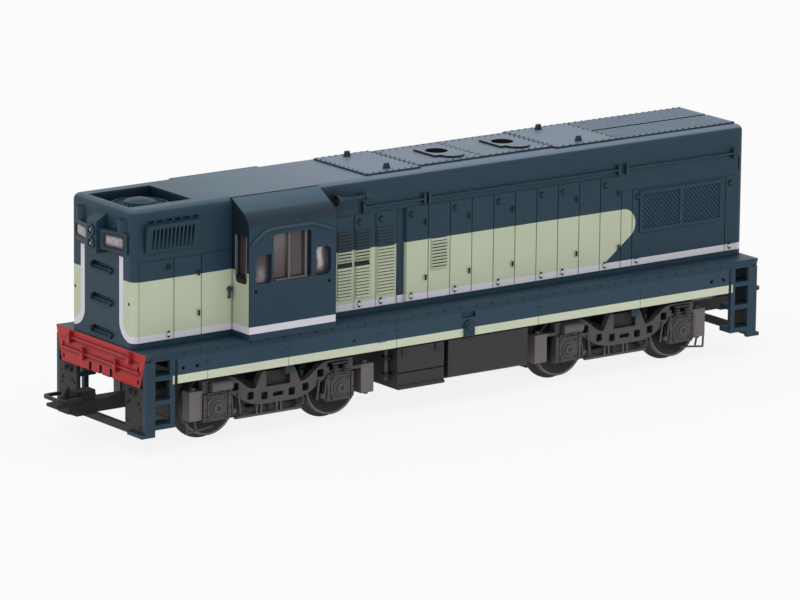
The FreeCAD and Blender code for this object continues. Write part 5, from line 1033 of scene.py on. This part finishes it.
def makeFloor():
    bm = bmesh.new()
    bmesh.ops.create_grid(bm, x_segments=1, y_segments=1, size=studio["floorSize"] / 2)
    mesh = bpy.data.meshes.new("floor")
    bm.to_mesh(mesh)
    bm.free()
    floor = bpy.data.objects.new("floor", mesh)
    bpy.context.scene.collection.objects.link(floor)
    material = bpy.data.materials.new("floorPaper")
    material.use_nodes = True
    tree = material.node_tree
    tree.nodes.clear()
    paper = tree.nodes.new("ShaderNodeBsdfDiffuse")
    paper.inputs["Color"].default_value = studio["floorColour"]
    glow = tree.nodes.new("ShaderNodeEmission")
    glow.inputs["Color"].default_value = studio["white"]
    share = tree.nodes.new("ShaderNodeMath")
    share.operation = "MULTIPLY"
    share.inputs[1].default_value = studio["floorGlow"]
    tree.links.new(seenDirectly(tree), share.inputs[0])
    mixed = tree.nodes.new("ShaderNodeMixShader")
    tree.links.new(share.outputs[0], mixed.inputs[0])
    tree.links.new(paper.outputs[0], mixed.inputs[1])
    tree.links.new(glow.outputs[0], mixed.inputs[2])
    out = tree.nodes.new("ShaderNodeOutputMaterial")
    tree.links.new(mixed.outputs[0], out.inputs["Surface"])
    mesh.materials.append(material)


def makeLight():
    world = bpy.data.worlds.new("studio")
    world.use_nodes = True
    bpy.context.scene.world = world
    tree = world.node_tree
    tree.nodes.clear()
    sky = tree.nodes.new("ShaderNodeBackground")
    sky.inputs["Color"].default_value = studio["white"]
    level = tree.nodes.new("ShaderNodeMapRange")
    level.inputs["To Min"].default_value = studio["skyLight"]
    level.inputs["To Max"].default_value = 1.0
    tree.links.new(seenDirectly(tree), level.inputs["Value"])
    tree.links.new(level.outputs[0], sky.inputs["Strength"])
    out = tree.nodes.new("ShaderNodeOutputWorld")
    tree.links.new(sky.outputs[0], out.inputs["Surface"])
    lamp = bpy.data.lights.new("softbox", "AREA")
    lamp.shape = "SQUARE"
    lamp.size = studio["keySize"]
    lamp.energy = studio["keyPower"]
    softbox = bpy.data.objects.new("softbox", lamp)
    bpy.context.scene.collection.objects.link(softbox)
    softbox.location = studio["keyPlace"]
    aim = -Vector(studio["keyPlace"])
    softbox.rotation_euler = aim.to_track_quat("-Z", "Y").to_euler()


# distances in mm, angles in degrees
cameraPlace = {
    "target": (0.0, 0.0, 20.9), "distance": 1148.0, "slideRight": -3.09, "slideUp": -3.37,
    "azimuth": -36.14, "elevation": 13.38, "roll": 0.59, "lens": 269.7, "clipStart": 0.05,
}


def makeCamera():
    turn = math.radians(cameraPlace["azimuth"])
    tilt = math.radians(cameraPlace["elevation"])
    roll = math.radians(cameraPlace["roll"])
    level = math.cos(tilt)
    back = Vector((math.sin(turn) * level, -math.cos(turn) * level, math.sin(tilt)))
    right = Vector((math.cos(turn), math.sin(turn), 0.0))
    upward = back.cross(right)
    place = Vector(cameraPlace["target"]) + back * cameraPlace["distance"]
    place += right * cameraPlace["slideRight"] + upward * cameraPlace["slideUp"]
    rolledRight = math.cos(roll) * right + math.sin(roll) * upward
    rolledUp = math.cos(roll) * upward - math.sin(roll) * right
    camera = bpy.data.objects.new("camera", bpy.data.cameras.new("camera"))
    camera.data.lens = cameraPlace["lens"]
    camera.data.clip_start = cameraPlace["clipStart"]
    bpy.context.scene.collection.objects.link(camera)
    axes = Matrix((rolledRight, rolledUp, back)).transposed().to_4x4()
    camera.matrix_world = Matrix.Translation(place * mm) @ axes
    bpy.context.scene.camera = camera


makeFloor()
makeLight()
makeCamera()
bpy.context.scene.view_settings.view_transform = "Standard"
print("studio ready")
